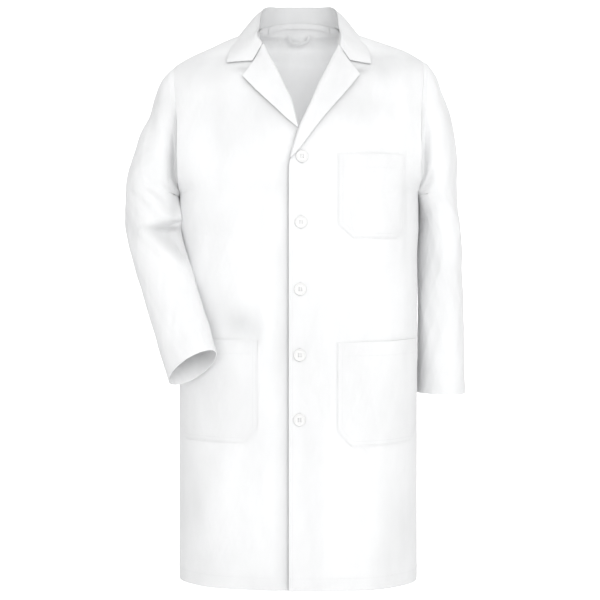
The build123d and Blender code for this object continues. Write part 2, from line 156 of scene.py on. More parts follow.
def front_folds(x, h, over):
    """How far the front cloth stands off its smooth shape, in metres; over is true for the front that laps on top."""
    lap = np.where(over, 0.0020 * bell(x, -0.0175, 0.022), -0.0050 * bell(x, -0.006, 0.034))
    lap = lap * (1 - step(h, 0.77, 0.84))
    d = 0.0
    # a pressed hollow where the sleeve lies across the right front, and the ridge beside it
    d = d - 0.016 * bell(x, -0.100, 0.026) * bell(h, 0.455, 0.032)
    d = d + 0.004 * bell(x, -0.060, 0.016) * bell(h, 0.470, 0.070)
    # long soft folds of the skirt, deeper towards the hem
    skirt = 1 - step(h, 0.10, 0.62)
    d = d + skirt * 0.0030 * np.sin(21.0 * x + 0.9 + 1.2 * h) * (1 - bell(x, 0, 0.05))
    d = d + skirt * 0.0022 * np.sin(47.0 * x - 2.0 * h + 2.1) * step(np.abs(x), 0.03, 0.12)
    # drag lines from the underarms towards the waist
    for sign in (-1, 1):
        along = (sign * x - 0.215) * 0.55 + (0.66 - h) * 0.85
        across = (sign * x - 0.215) * 0.85 - (0.66 - h) * 0.55
        d = d + 0.0030 * bell(across, -0.012, 0.014) * bell(along, 0.10, 0.10)
        d = d - 0.0022 * bell(across, -0.040, 0.016) * bell(along, 0.12, 0.11)
    # shallow dents over the chest
    d = d - 0.0045 * bell(x, -0.150, 0.022) * bell(h, 0.800, 0.090)
    d = d - 0.0045 * bell(x, 0.196, 0.012) * bell(h, 0.720, 0.110)
    d = d - 0.0040 * bell(x, 0.165, 0.022) * bell(h, 0.870, 0.060)
    d = d + 0.0016 * ripple(x * 26, h * 14, 3)
    d = d + 0.0007 * ripple(x * 70, h * 40, 8)
    calm = 1 - 0.92 * bell(x, 0.0, 0.020) * (1 - step(h, 0.80, 0.86))
    return d * calm + lap


def back_folds(x, h):
    skirt = 1 - step(h, 0.12, 0.70)
    d = skirt * 0.0045 * np.sin(24.0 * x + 0.4 - 1.0 * h)
    d = d + 0.0030 * bell(np.abs(x), 0.10, 0.03) * bell(h, 0.83, 0.10)
    d = d - 0.0040 * bell(x, 0, 0.02) * bell(h, 0.62, 0.22)
    d = d + 0.0020 * ripple(x * 22, h * 12, 5)
    return d + 0.0008 * ripple(x * 60, h * 36, 9)


def squareness(x, h):
    """The power of the front's section: 2 is an ellipse, more is flatter in front with fuller sides."""
    left = 2.8 - 0.8 * step(h, 0.79, 0.88)
    right = 2.3 + 0.5 * step(h, 0.62, 0.68) - 0.8 * step(h, 0.79, 0.88)
    return left + (right - left) * step(-x, -0.03, 0.03)


def depth_share(share, h, sign):
    """How deep the front's section is at a share of its half width."""
    n = squareness(sign * 0.2, h)
    return np.maximum(0, 1 - np.abs(share) ** n) ** (1 / n)


def shell(theta, h, over):
    """A point of the coat's body; theta is 0 at the wearer's left side and pi at the right, negative behind."""
    a, bf, bb, cy = (f(h) for f in BODY)
    c, s = np.cos(theta), np.sin(theta)
    b = np.where(s >= 0, bf, bb)
    n = np.where(s >= 0, squareness(a * c, h), 2.0)
    deep = np.sign(s) * np.maximum(1e-12, 1 - np.abs(c) ** n) ** (1 / n)
    wide = 0.0035 * (1 - step(h, 0.58, 0.69)) * np.maximum(0, -c) ** 3
    p = np.stack([a * c - wide, cy - b * deep, h], -1)
    out = unit(np.stack([c / a, -s / b, np.zeros_like(c)], -1))
    fade = np.minimum(1, np.abs(s) * 2.2) * (1 - step(h, 0.93, 0.99))
    fold = np.where(s >= 0, front_folds(p[..., 0], h, over), back_folds(p[..., 0], h)) * fade
    return p + out * fold[..., None]


def surface(theta, h, off=0.0, over=True):
    """Points and outward normals of the body, moved out by off."""
    theta, h = np.broadcast_arrays(np.asarray(theta, float), np.asarray(h, float))
    e = 4e-4
    du = shell(theta + e, h, over) - shell(theta - e, h, over)
    dv = shell(theta, h + e, over) - shell(theta, h - e, over)
    n = unit(-np.cross(du, dv))
    return shell(theta, h, over) + n * np.asarray(off)[..., None], n


def theta_at(x, h):
    return np.arccos(np.clip(x / BODY[0](h), -1, 1))


def front_at(x, h, off=0.0, over=True):
    x, h = np.broadcast_arrays(np.asarray(x, float), np.asarray(h, float))
    return surface(theta_at(x, h), h, off, over)


def armhole_x(h):
    """Half the width between the armhole seams, which lean out towards the shoulder."""
    return ARMHOLE_X + 0.0095 * step(h, 0.80, 0.945)


def armhole_depth(h):
    """How far the armhole opens at each height, as a share of the body's half depth there."""
    return np.sqrt(np.maximum(0, 1 - (armhole_x(h) / np.maximum(BODY[0](h), armhole_x(h))) ** 2))


def side_theta(h):
    """The angle of the armhole or side edge at each height."""
    return np.where(np.asarray(h) > 0.70, np.arcsin(armhole_depth(h)), 0.0)


ARMHOLE_HEIGHTS = np.linspace(0.90, 0.96, 601)
ARMHOLE_TOP = float(ARMHOLE_HEIGHTS[armhole_depth(ARMHOLE_HEIGHTS) > 0].max())


# ---------------------------------------------------------------- making meshes
def placed(points):
    """Points in the frame. The wearer's left shoulder stands a little higher than the right."""
    out = np.array(points, float)
    x, h = out[..., 0], out[..., 2]
    out[..., 2] += HEM_Z + 0.0045 * np.sign(x) * step(np.abs(x), 0.10, 0.20) * step(h, 0.80, 0.93)
    return out


def link(name, verts, faces, material, uvs=None, normals=None):
    mesh = bpy.data.meshes.new(name)
    mesh.from_pydata(placed(verts).tolist(), [], faces)
    mesh.update()
    if uvs is not None:
        layer = mesh.uv_layers.new(name="UVMap")
        loops = np.array([loop.vertex_index for loop in mesh.loops])
        layer.data.foreach_set("uv", np.asarray(uvs, np.float32)[loops].ravel())
    mesh.polygons.foreach_set("use_smooth", [True] * len(mesh.polygons))
    if normals is not None:
        mesh.normals_split_custom_set_from_vertices(unit(np.asarray(normals, float)).tolist())
    mesh.materials.append(material)
    ob = bpy.data.objects.new(name, mesh)
    bpy.context.scene.collection.objects.link(ob)
    return ob


def from_line(p, a, b):
    """How far points are along the line a to b (0 to 1) and to its upper right, seen from the front."""
    a, b = np.array(a), np.array(b)
    along = b - a
    length = np.linalg.norm(along)
    along = along / length
    rel = np.stack([p[..., 0] - a[0], p[..., 2] - a[1]], -1)
    return rel @ along / length, rel @ np.array([-along[1], along[0]])


# painted shade on the fronts, in their hollows and under the collar's notches: soft greys set one by one and not worked
# out from the folds:
# x, height, half width, half height, amount
FRONT_PAINTED_SHADES = [
    (-0.105, 0.462, 0.024, 0.026, 0.150), (-0.135, 0.480, 0.040, 0.040, 0.060), (-0.190, 0.620, 0.018, 0.080, 0.020),
    (-0.155, 0.925, 0.050, 0.030, 0.075), (-0.060, 0.845, 0.035, 0.050, 0.080), (-0.110, 0.800, 0.040, 0.060, 0.050),
    (-0.190, 0.130, 0.035, 0.060, 0.075), (-0.170, 0.040, 0.050, 0.030, 0.050), (-0.110, 0.060, 0.050, 0.060, 0.025),
    (0.150, 0.930, 0.050, 0.030, 0.120), (0.110, 0.850, 0.045, 0.035, 0.090), (0.203, 0.780, 0.012, 0.110, 0.080),
    (0.150, 0.770, 0.035, 0.040, 0.040), (0.185, 0.110, 0.030, 0.055, 0.080), (0.150, 0.050, 0.050, 0.035, 0.050),
    (-0.0985, 0.9225, 0.015, 0.006, 0.220), (0.1080, 0.9185, 0.015, 0.006, 0.220),
]


def front_painted_shade(p, under):
    """How white the fronts are under painted shade: the listed greys, a painted shadow just beyond each lapel's outer
    edge and, where under is true, on the front that is lapped over, a painted shadow beside the edge of the front on
    top.
    """
    x, h = p[..., 0], p[..., 2]
    grey = sum(amount * bell(x, gx, wx) * bell(h, gh, wh) for gx, gh, wx, wh, amount in FRONT_PAINTED_SHADES)
    # painted shadow on the front just beyond each lapel's outer edge
    for sign, tip, foot in ((-1, (-0.100, 0.906), (-0.006, 0.806)), (1, (0.108, 0.9085), (0.004, 0.786))):
        a, s = from_line(p * np.array([sign, 1, 1]), (sign * tip[0], tip[1]), (sign * foot[0], foot[1]))
        beside = step(a, -0.1, 0.1) * (1 - step(a, 0.95, 1.1)) * (s > -0.02)
        grey = grey + 0.15 * np.exp(-np.maximum(0, s) / 0.0065) * beside
    # painted shadow on the lapped-over front, beside the edge of the front that lies on top
    if under:
        away = LEFT_EDGE(np.clip(h, 0, 1)) - x
        edge = 0.10 * np.exp(-np.maximum(0, away) / 0.010) + 0.05 * bell(away, 0.0, 0.004)
        grey = grey + edge * (1 - step(h, 0.76, 0.80))
    return 1 - grey


def sleeve_painted_shading(side, p, n):
    """How white a sleeve is: painted shade beside the armhole, at the top of the sleeve and in the bend of the elbow,
    fading where the sleeve turns away from the front; on the wearer's left sleeve also painted light, a lighter band
    beside the body below the armhole.
    """
    faces = step(-n[..., 1], -0.1, 0.5)
    x, h = np.abs(p[..., 0]), p[..., 2]
    if side == "left":
        grey = 0.07 * bell(x, 0.226, 0.012) * step(h, 0.62, 0.70) * (1 - step(h, 0.84, 0.90))
        # painted light: a band beside the body, below the armhole, made lighter than the cloth
        grey = grey - 0.10 * bell(x, 0.226, 0.018) * (1 - step(h, 0.60, 0.70)) * step(h, 0.36, 0.46)
        grey = grey + 0.05 * bell(x, 0.275, 0.010) * bell(h, 0.86, 0.07)
        return 1 - grey * faces
    grey = 0.17 * bell(x, 0.2255, 0.010) * step(h, 0.62, 0.68) * (1 - step(h, 0.80, 0.90))
    grey = grey + 0.09 * bell(x, 0.250, 0.020) * bell(h, 0.870, 0.035)
    grey = grey + 0.07 * bell(x, 0.300, 0.022) * bell(h, 0.655, 0.025)
    # painted shadow in the hollow below the elbow's crease, and a painted dark line along the crease
    a, s = from_line(p, (-0.2970, 0.6560), (-0.1880, 0.5620))
    fill = step(s, -0.012, 0.010) * (1 - step(h, 0.636, 0.648)) * step(a, -0.05, 0.25) * (1 - step(a, 0.72, 1.05))
    grey = grey + 0.18 * fill + 0.12 * bell(h, 0.640, 0.006) * step(-x, -0.272, -0.240)
    return 1 - grey * faces


def sheet(name, points, normals, material, thick=CLOTH, ring=False, tone=1.0):
    """A closed sheet of cloth from a grid of points on its outer face; the last argument is how white that face is,
    with shade painted into its colour (1 paints none, more than 1 paints light).
    """
    p, n = np.asarray(points, float), unit(np.asarray(normals, float))
    rows, cols = p.shape[:2]
    count = rows * cols
    verts = np.concatenate([p.reshape(-1, 3), (p - n * thick).reshape(-1, 3)])
    norms = np.concatenate([n.reshape(-1, 3), -n.reshape(-1, 3)])
    step_u = np.linalg.norm(np.diff(p, axis=1), axis=-1).mean(0)
    step_v = np.linalg.norm(np.diff(p, axis=0), axis=-1).mean(1)
    u = np.concatenate([[0], np.cumsum(step_u)])
    v = np.concatenate([[0], np.cumsum(step_v)])
    uv = np.stack(np.broadcast_arrays(u[None, :], v[:, None]), -1).reshape(-1, 2)
    uvs = np.concatenate([uv, uv])
    index = np.arange(count).reshape(rows, cols)
    wrap = cols if ring else cols - 1
    j2 = (np.arange(wrap) + 1) % cols
    j1 = np.arange(wrap)
    a, b = index[:-1][:, j1], index[:-1][:, j2]
    c, d = index[1:][:, j2], index[1:][:, j1]
    quads = np.stack([a, b, c, d], -1).reshape(-1, 4)
    facing = np.cross(verts[quads[:, 2]] - verts[quads[:, 0]], verts[quads[:, 3]] - verts[quads[:, 1]])
    flip = np.sum(facing * norms[quads[:, 0]]) < 0
    if flip:
        quads = quads[:, ::-1]
    faces = quads.tolist() + (quads[:, ::-1] + count).tolist()
    border = []
    for i in (0, rows - 1):
        for j in range(wrap):
            border.append((index[i, j], index[i, (j + 1) % cols], i == 0))
    if not ring:
        for j in (0, cols - 1):
            for i in range(rows - 1):
                border.append((index[i + 1, j], index[i, j], j == 0))
    for a, b, first in border:
        wall = [int(a), int(a + count), int(b + count), int(b)]
        if first == flip:
            wall = wall[::-1]
        faces.append(wall)
    ob = link(name, verts, faces, material, uvs, norms)
    # the painted shade (and light) is kept on each point as an attribute that the cloth's colour is multiplied by
    whites = np.broadcast_to(tone, p.shape[:2]).ravel()
    layer = ob.data.attributes.new("tone", "FLOAT", "POINT")
    layer.data.foreach_set("value", np.concatenate([whites, whites]).astype(np.float32))
    return ob


def stitches(name, paths, material, pitch=0.0034, length=0.0025, radius=0.00024):
    """Rows of thread stitches along paths; each path is (points, normals) on the cloth's face."""
    verts, faces, norms = [], [], []
    sides = 6
    for pts, nrm in paths:
        pts, nrm = np.asarray(pts, float), np.asarray(nrm, float)
        gaps = np.linalg.norm(np.diff(pts, axis=0), axis=1)
        s = np.concatenate([[0], np.cumsum(gaps)])
        n = int(s[-1] / pitch)
        if n < 1:
            continue
        mids = (np.arange(n) + 0.5) * s[-1] / n
        for m in mids:
            ends = np.array([m - length / 2, m + length / 2])
            q = np.stack([np.interp(ends, s, pts[:, k]) for k in range(3)], -1)
            up = unit(np.array([np.interp(m, s, nrm[:, k]) for k in range(3)]))
            along = unit(q[1] - q[0])
            side = unit(np.cross(along, up))
            base = len(verts)
            rings = ((-0.5, 0.25, -0.9), (-0.36, 0.9, 0.1), (0.0, 1.0, 0.45), (0.36, 0.9, 0.1), (0.5, 0.25, -0.9))
            centre = (q[0] + q[1]) / 2
            for place, size, lift in rings:
                c = centre + along * (place * length) + up * (lift * radius)
                for k in range(sides):
                    ang = 2 * math.pi * k / sides
                    w = side * math.cos(ang) + up * math.sin(ang)
                    verts.append(c + w * radius * size)
                    norms.append(w)
            for r in range(len(rings) - 1):
                for k in range(sides):
                    a = base + r * sides + k
                    b = base + r * sides + (k + 1) % sides
                    faces.append([a, a + sides, b + sides, b])
            faces.append([base + k for k in range(sides)])
            faces.append([base + (len(rings) - 1) * sides + k for k in range(sides)][::-1])
    return link(name, np.array(verts), faces, material, None, np.array(norms))


# ---------------------------------------------------------------- materials
def cloth_material(name, base, scale=1.0, twill=0.55, rough=0.86):
    """White twill: fine diagonal ribs, a slub, faint uneven colour and a soft nap, with each sheet's painted shade
    multiplied into its colour.
    """
    mat = bpy.data.materials.new(name)
    mat.use_nodes = True
    nt = mat.node_tree
    nodes, wires = nt.nodes, nt.links
    nodes.clear()
    out = nodes.new("ShaderNodeOutputMaterial")
    bsdf = nodes.new("ShaderNodeBsdfPrincipled")
    wires.new(bsdf.outputs["BSDF"], out.inputs["Surface"])
    uv = nodes.new("ShaderNodeUVMap")
    uv.uv_map = "UVMap"
    geo = nodes.new("ShaderNodeTexCoord")
    turn = nodes.new("ShaderNodeMapping")
    turn.inputs["Rotation"].default_value = (0, 0, math.radians(63))
    turn.inputs["Scale"].default_value = (1150 / scale, 1150 / scale, 1)
    wires.new(uv.outputs["UV"], turn.inputs["Vector"])
    rib = nodes.new("ShaderNodeTexWave")
    rib.wave_type = "BANDS"
    rib.bands_direction = "X"
    rib.inputs["Scale"].default_value = 0.32
    rib.inputs["Distortion"].default_value = 0.9
    rib.inputs["Detail"].default_value = 2.0
    rib.inputs["Detail Scale"].default_value = 1.5
    wires.new(turn.outputs["Vector"], rib.inputs["Vector"])
    slub_map = nodes.new("ShaderNodeMapping")
    slub_map.inputs["Scale"].default_value = (900, 160, 1)
    wires.new(uv.outputs["UV"], slub_map.inputs["Vector"])
    slub = nodes.new("ShaderNodeTexNoise")
    slub.inputs["Scale"].default_value = 1.0
    slub.inputs["Detail"].default_value = 3.0
    wires.new(slub_map.outputs["Vector"], slub.inputs["Vector"])
    crumple = nodes.new("ShaderNodeTexNoise")
    crumple.inputs["Scale"].default_value = 34.0
    crumple.inputs["Detail"].default_value = 5.0
    crumple.inputs["Roughness"].default_value = 0.55
    wires.new(geo.outputs["Object"], crumple.inputs["Vector"])
    streak = nodes.new("ShaderNodeMapping")
    streak.inputs["Scale"].default_value = (1.0, 1.0, 0.35)
    wires.new(geo.outputs["Object"], streak.inputs["Vector"])
    shade = nodes.new("ShaderNodeTexNoise")
    shade.inputs["Scale"].default_value = 11.0
    shade.inputs["Detail"].default_value = 5.0
    shade.inputs["Roughness"].default_value = 0.6
    wires.new(streak.outputs["Vector"], shade.inputs["Vector"])
    ramp = nodes.new("ShaderNodeValToRGB")
    ramp.color_ramp.elements[0].position = 0.3
    ramp.color_ramp.elements[0].color = tuple(c * 0.905 for c in base) + (1,)
    ramp.color_ramp.elements[1].position = 0.7
    ramp.color_ramp.elements[1].color = tuple(base) + (1,)
    wires.new(shade.outputs["Fac"], ramp.inputs["Fac"])
    weave = nodes.new("ShaderNodeMixRGB")
    weave.blend_type = "MULTIPLY"
    weave.inputs["Fac"].default_value = 0.10
    wires.new(ramp.outputs["Color"], weave.inputs["Color1"])
    wires.new(rib.outputs["Color"], weave.inputs["Color2"])
    # painted shade: the sheet's attribute darkens the colour where shade is painted, and lightens it where light is
    # painted
    tone = nodes.new("ShaderNodeAttribute")
    tone.attribute_name = "tone"
    with_painted_shading = nodes.new("ShaderNodeMixRGB")
    with_painted_shading.blend_type = "MULTIPLY"
    with_painted_shading.inputs["Fac"].default_value = 1.0
    wires.new(weave.outputs["Color"], with_painted_shading.inputs["Color1"])
    wires.new(tone.outputs["Fac"], with_painted_shading.inputs["Color2"])
    wires.new(with_painted_shading.outputs["Color"], bsdf.inputs["Base Color"])
    rough_map = nodes.new("ShaderNodeMapRange")
    rough_map.inputs["To Min"].default_value = rough - 0.06
    rough_map.inputs["To Max"].default_value = rough + 0.06
    wires.new(slub.outputs["Fac"], rough_map.inputs["Value"])
    wires.new(rough_map.outputs["Result"], bsdf.inputs["Roughness"])
    b1 = nodes.new("ShaderNodeBump")
    b1.inputs["Distance"].default_value = 0.0012
    b1.inputs["Strength"].default_value = 0.35
    wires.new(crumple.outputs["Fac"], b1.inputs["Height"])
    b2 = nodes.new("ShaderNodeBump")
    b2.inputs["Distance"].default_value = 0.00012
    b2.inputs["Strength"].default_value = 0.5
    wires.new(slub.outputs["Fac"], b2.inputs["Height"])
    wires.new(b1.outputs["Normal"], b2.inputs["Normal"])
    b3 = nodes.new("ShaderNodeBump")
    b3.inputs["Distance"].default_value = 0.00016
    b3.inputs["Strength"].default_value = twill
    wires.new(rib.outputs["Fac"], b3.inputs["Height"])
    wires.new(b2.outputs["Normal"], b3.inputs["Normal"])
    wires.new(b3.outputs["Normal"], bsdf.inputs["Normal"])
    bsdf.inputs["Subsurface Weight"].default_value = 0.28
    bsdf.inputs["Subsurface Radius"].default_value = (0.0016, 0.0016, 0.0016)
    bsdf.inputs["Subsurface Scale"].default_value = 1.0
    bsdf.inputs["Specular IOR Level"].default_value = 0.25
    bsdf.inputs["Sheen Weight"].default_value = 0.12
    bsdf.inputs["Sheen Roughness"].default_value = 0.5
    return mat


def plain_material(name, base, rough, bump_scale, bump_depth, spec=0.4, coat=0.0):
    """Moulded plastic or thread: even colour with a fine mottle and a slight unevenness."""
    mat = bpy.data.materials.new(name)
    mat.use_nodes = True
    nodes, wires = mat.node_tree.nodes, mat.node_tree.links
    bsdf = nodes["Principled BSDF"]
    geo = nodes.new("ShaderNodeTexCoord")
    noise = nodes.new("ShaderNodeTexNoise")
    noise.inputs["Scale"].default_value = bump_scale
    noise.inputs["Detail"].default_value = 4.0
    wires.new(geo.outputs["Object"], noise.inputs["Vector"])
    ramp = nodes.new("ShaderNodeValToRGB")
    ramp.color_ramp.elements[0].color = tuple(c * 0.94 for c in base) + (1,)
    ramp.color_ramp.elements[1].color = tuple(base) + (1,)
    wires.new(noise.outputs["Fac"], ramp.inputs["Fac"])
    wires.new(ramp.outputs["Color"], bsdf.inputs["Base Color"])
    bump = nodes.new("ShaderNodeBump")
    bump.inputs["Distance"].default_value = bump_depth
    bump.inputs["Strength"].default_value = 0.4
    wires.new(noise.outputs["Fac"], bump.inputs["Height"])
    wires.new(bump.outputs["Normal"], bsdf.inputs["Normal"])
    bsdf.inputs["Roughness"].default_value = rough
    bsdf.inputs["Specular IOR Level"].default_value = spec
    bsdf.inputs["Coat Weight"].default_value = coat
    return mat


TWILL = cloth_material("white_twill", (0.90, 0.905, 0.91))
TAPE = cloth_material("white_tape", (0.88, 0.885, 0.89), 0.8, 0.7)
THREAD = plain_material("white_thread", (0.73, 0.735, 0.74), 0.75, 900, 0.0002, 0.3)
BUTTON = plain_material("pearly_plastic", (0.76, 0.76, 0.755), 0.36, 220, 0.0001, 0.5, 0.2)


# ---------------------------------------------------------------- fronts and backs
HEM_DEPTH = 0.025
ROLL = 0.0009


def heights(low, high, count, extra=()):
    rows = np.linspace(low, high, count)
    return np.unique(np.concatenate([rows, np.array(extra, float)]))


def hemmed(theta_of, hs, off, over=True):
    """A body panel whose foot is turned up inside: rows up the inside, round the fold and up the outside."""
    rows_p, rows_n = [], []
    for h in np.linspace(HEM_DEPTH, 0.001, 8):
        p, n = surface(theta_of(h), h, off(h) - 2 * ROLL, over)
        rows_p.append(p)
        rows_n.append(-n)
    for angle in np.linspace(math.pi * 0.92, math.pi * 0.08, 7):
        p, n = surface(theta_of(0.0), 0.0, off(0.0) - ROLL + ROLL * math.cos(angle), over)
        p = p + UP * (ROLL * (1 - math.sin(angle)))
        rows_p.append(p)
        rows_n.append(n * math.cos(angle) - UP * math.sin(angle))
    for h in hs:
        p, n = surface(theta_of(h), h, off(h), over)
        rows_p.append(p)
        rows_n.append(n)
    return np.array(rows_p), np.array(rows_n)


def span(first, last, cols, power=1.0):
    s = np.linspace(0, 1, cols) ** power
    return first + (last - first) * s


BODY_ROWS = heights(0.003, NECK_TOP, 190, (0.70, 0.705, 0.712, 0.72, 0.942, ARMHOLE_TOP, 0.95, 1.003, 1.006))


def make_left_front():
    p, n = hemmed(lambda h: span(theta_at(LEFT_EDGE(h), h), side_theta(h), 84), BODY_ROWS, lambda h: 0.0)
    ob = sheet("left_front", p, n, TWILL, tone=front_painted_shade(p, False))
    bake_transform(ob)
    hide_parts("left_front_chest", "left_front_skirt", "left_front_side", "left_front_hem",
                "left_interlining_chest", "left_interlining_skirt")


def right_off(theta, h):
    x = BODY[0](h) * np.cos(theta)
    return -0.0026 * (1 - step(-x, 0.04, 0.15))


def make_right_front():
    def angles(h):
        return span(theta_at(RIGHT_EDGE(h), h), math.pi - side_theta(h), 90)

    rows_p, rows_n = hemmed(angles, BODY_ROWS, lambda h: right_off(angles(h), h), False)
    ob = sheet("right_front", rows_p, rows_n, TWILL, tone=front_painted_shade(rows_p, True))
    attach(ob, "bodice")
    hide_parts("right_front_panel", "right_front_hem", "right_interlining")


def make_facing(name, edge, sign, off, width, nodes, blend):
    """The strip that backs a front edge, from the hem to where the lapel turns over."""
    hs = heights(0.0015, 0.752, 150)
    rows_p, rows_n = [], []
    for h in hs:
        x0 = edge(h) + sign * 0.0006
        theta = span(theta_at(x0, h), theta_at(x0 + sign * width, h), 14)
        p, n = surface(theta, h, off, blend)
        rows_p.append(p)
        rows_n.append(n)
    ob = sheet(name, rows_p, rows_n, TWILL)
    if blend:
        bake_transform(ob)
    else:
        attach(ob, "bodice")
    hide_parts(*nodes)


def make_backs():
    neck_rows = np.linspace(NECK_TOP + 0.001, BACK_NECK - 0.0003, 9)

    def side(h):
        if h <= NECK_TOP:
            return float(side_theta(np.array(h)))
        x = 0.0750 * math.sqrt(max(0.0, 1 - ((h - NECK_TOP) / (BACK_NECK - NECK_TOP)) ** 2))
        return float(np.arccos(np.clip(x / BODY[0](h), 0, 1)))

    for name, sign in (("left", 1), ("right", -1)):
        def angles(h, sign=sign):
            middle, edge = -math.pi / 2, -side(h)
            theta = span(middle, edge, 74)
            return theta if sign > 0 else -math.pi - theta

        p, n = hemmed(angles, np.concatenate([BODY_ROWS, neck_rows]), lambda h: 0.0)
        # the tops of the backs, round the inside of the neck, are painted darker as shade
        ob = sheet("back_" + name, p, n, TWILL, tone=1 - 0.13 * step(p[..., 2], 0.975, 1.005))
        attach(ob, "bodice")
        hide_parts("back_%s_panel" % name, "back_%s_hem" % name)


# ---------------------------------------------------------------- lapels
# top edge from the gorge to the tip, then outer edge from the tip to the foot, and the roll line
LAPELS = {
    "left": dict(
        edge=LEFT_EDGE, top=[(0.0735, 0.969), (0.0900, 0.936), (0.1080, 0.9085)],
        outer=[(0.1080, 0.9085), (0.0790, 0.8720), (0.0480, 0.8360), (0.0170, 0.795), (-0.0010, 0.772),
               (-0.0150, 0.756)],
        low=0.756, high=0.969),
    "right": dict(
        edge=RIGHT_EDGE, top=[(-0.0655, 0.973), (-0.0820, 0.936), (-0.1000, 0.9060)],
        outer=[(-0.1000, 0.9060), (-0.0755, 0.8800), (-0.0470, 0.8530), (-0.0220, 0.829), (-0.0040, 0.8140)],
        low=0.813, high=0.973),
}
LAPEL_ROLL = 0.0024


def polyline(points, t):
    pts = np.array(points, float)
    s = np.concatenate([[0], np.cumsum(np.linalg.norm(np.diff(pts, axis=0), axis=1))])
    return np.stack([np.interp(np.asarray(t) * s[-1], s, pts[:, k]) for k in (0, 1)], -1)


def make_lapel(side):
    spec = LAPELS[side]
    sign = 1 if side == "left" else -1
    rows, cols = 70, 26
    ts = np.linspace(0, 1, rows)
    us = np.linspace(0, 1, cols)
    roll_h = spec["high"] + (spec["low"] - spec["high"]) * ts
    roll = np.stack([spec["edge"](roll_h), roll_h], -1)
    outer = polyline(spec["outer"], ts)
    top = polyline(spec["top"], us)
    foot = roll[-1] + (outer[-1] - roll[-1]) * us[:, None]
    grid = np.zeros((rows, cols, 2))
    for i, t in enumerate(ts):
        for j, u in enumerate(us):
            ruled = roll[i] * (1 - u) + outer[i] * u
            other = top[j] * (1 - t) + foot[j] * t
            corner = ((roll[0] * (1 - u) + outer[0] * u) * (1 - t) + (roll[-1] * (1 - u) + outer[-1] * u) * t)
            grid[i, j] = ruled + other - corner
    width = np.linalg.norm(outer - roll, axis=1)
    points, normals = [], []
    for i in range(rows):
        x, h = grid[i, :, 0], grid[i, :, 1]
        away = us * width[i]
        body_off = 0.0 if side == "left" else right_off(theta_at(x, h), h)
        near_edge = np.exp(-away / 0.010)
        flare = 0.0042 * us ** 2 * (1 - 0.8 * ts[i]) + 0.0012
        off = body_off + flare + 0.0016 + (2 * LAPEL_ROLL - 0.0016) * near_edge
        off = off + 0.0010 * np.sin(us * math.pi) * math.sin(ts[i] * math.pi)
        p, n = front_at(x, h, off, side == "left")
        # roll at the fold: from behind the front edge, round, and onto the lapel
        base, bn = front_at(roll[i, 0], roll[i, 1], 0.0, side == "left")
        base, bn = base.reshape(3), bn.reshape(3)
        inward = unit(np.array([-sign, 0.0, 0.15]) - bn * np.dot([-sign, 0.0, 0.15], bn))
        body0 = float(body_off if np.isscalar(body_off) else body_off[0])
        middle = base + bn * (body0 + LAPEL_ROLL * 0.55)
        r = LAPEL_ROLL * (1.0 - 0.45 * ts[i])
        turn_p, turn_n = [], []
        for angle in np.linspace(-math.pi * 0.5, math.pi * 0.42, 9):
            w = bn * math.sin(angle) + inward * math.cos(angle)
            turn_p.append(middle + bn * r * math.sin(angle) + inward * r * math.cos(angle))
            turn_n.append(w)
        behind = [turn_p[0] - inward * d - bn * 0.0002 for d in (0.010 - 0.007 * ts[i], 0.005 - 0.0035 * ts[i])]
        points.append(np.concatenate([behind, turn_p, p[1:]]))
        normals.append(np.concatenate([[turn_n[0], turn_n[0]], turn_n, n[1:]]))
    points, normals = np.array(points), np.array(normals)
    points, normals = smooth_rows(points, normals, 8, 16)
    ob = sheet(side + "_lapel", points, normals, TWILL)
    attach(ob, "bodice")
    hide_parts(side + "_lapel")


def smooth_rows(points, normals, first, last, rounds=6):
    """Eases the columns between two indices, so the roll runs on into the flat cloth."""
    p = points.copy()
    for _ in range(rounds):
        middle = (p[:, first - 1:last - 1] + 2 * p[:, first:last] + p[:, first + 1:last + 1]) / 4
        p[:, first:last] = middle
    return p, grid_normals(p, normals)


def grid_normals(p, hint):
    du = np.gradient(p, axis=1)
    dv = np.gradient(p, axis=0)
    n = unit(np.cross(du, dv))
    same = np.sign(np.sum(n * hint, axis=-1, keepdims=True))
    same[same == 0] = 1
    n = n * same
    bad = ~np.isfinite(n).all(-1) | (np.linalg.norm(np.cross(du, dv), axis=-1) < 1e-12)
    n[bad] = unit(hint)[bad]
    return n


# ---------------------------------------------------------------- collar
# stand foot, fold, leaf middle, leaf edge: from the front end to the back centre, on the wearer's left
def on_front(x, h, off):
    p, n = front_at(x, h, off)
    return tuple(p.reshape(3))


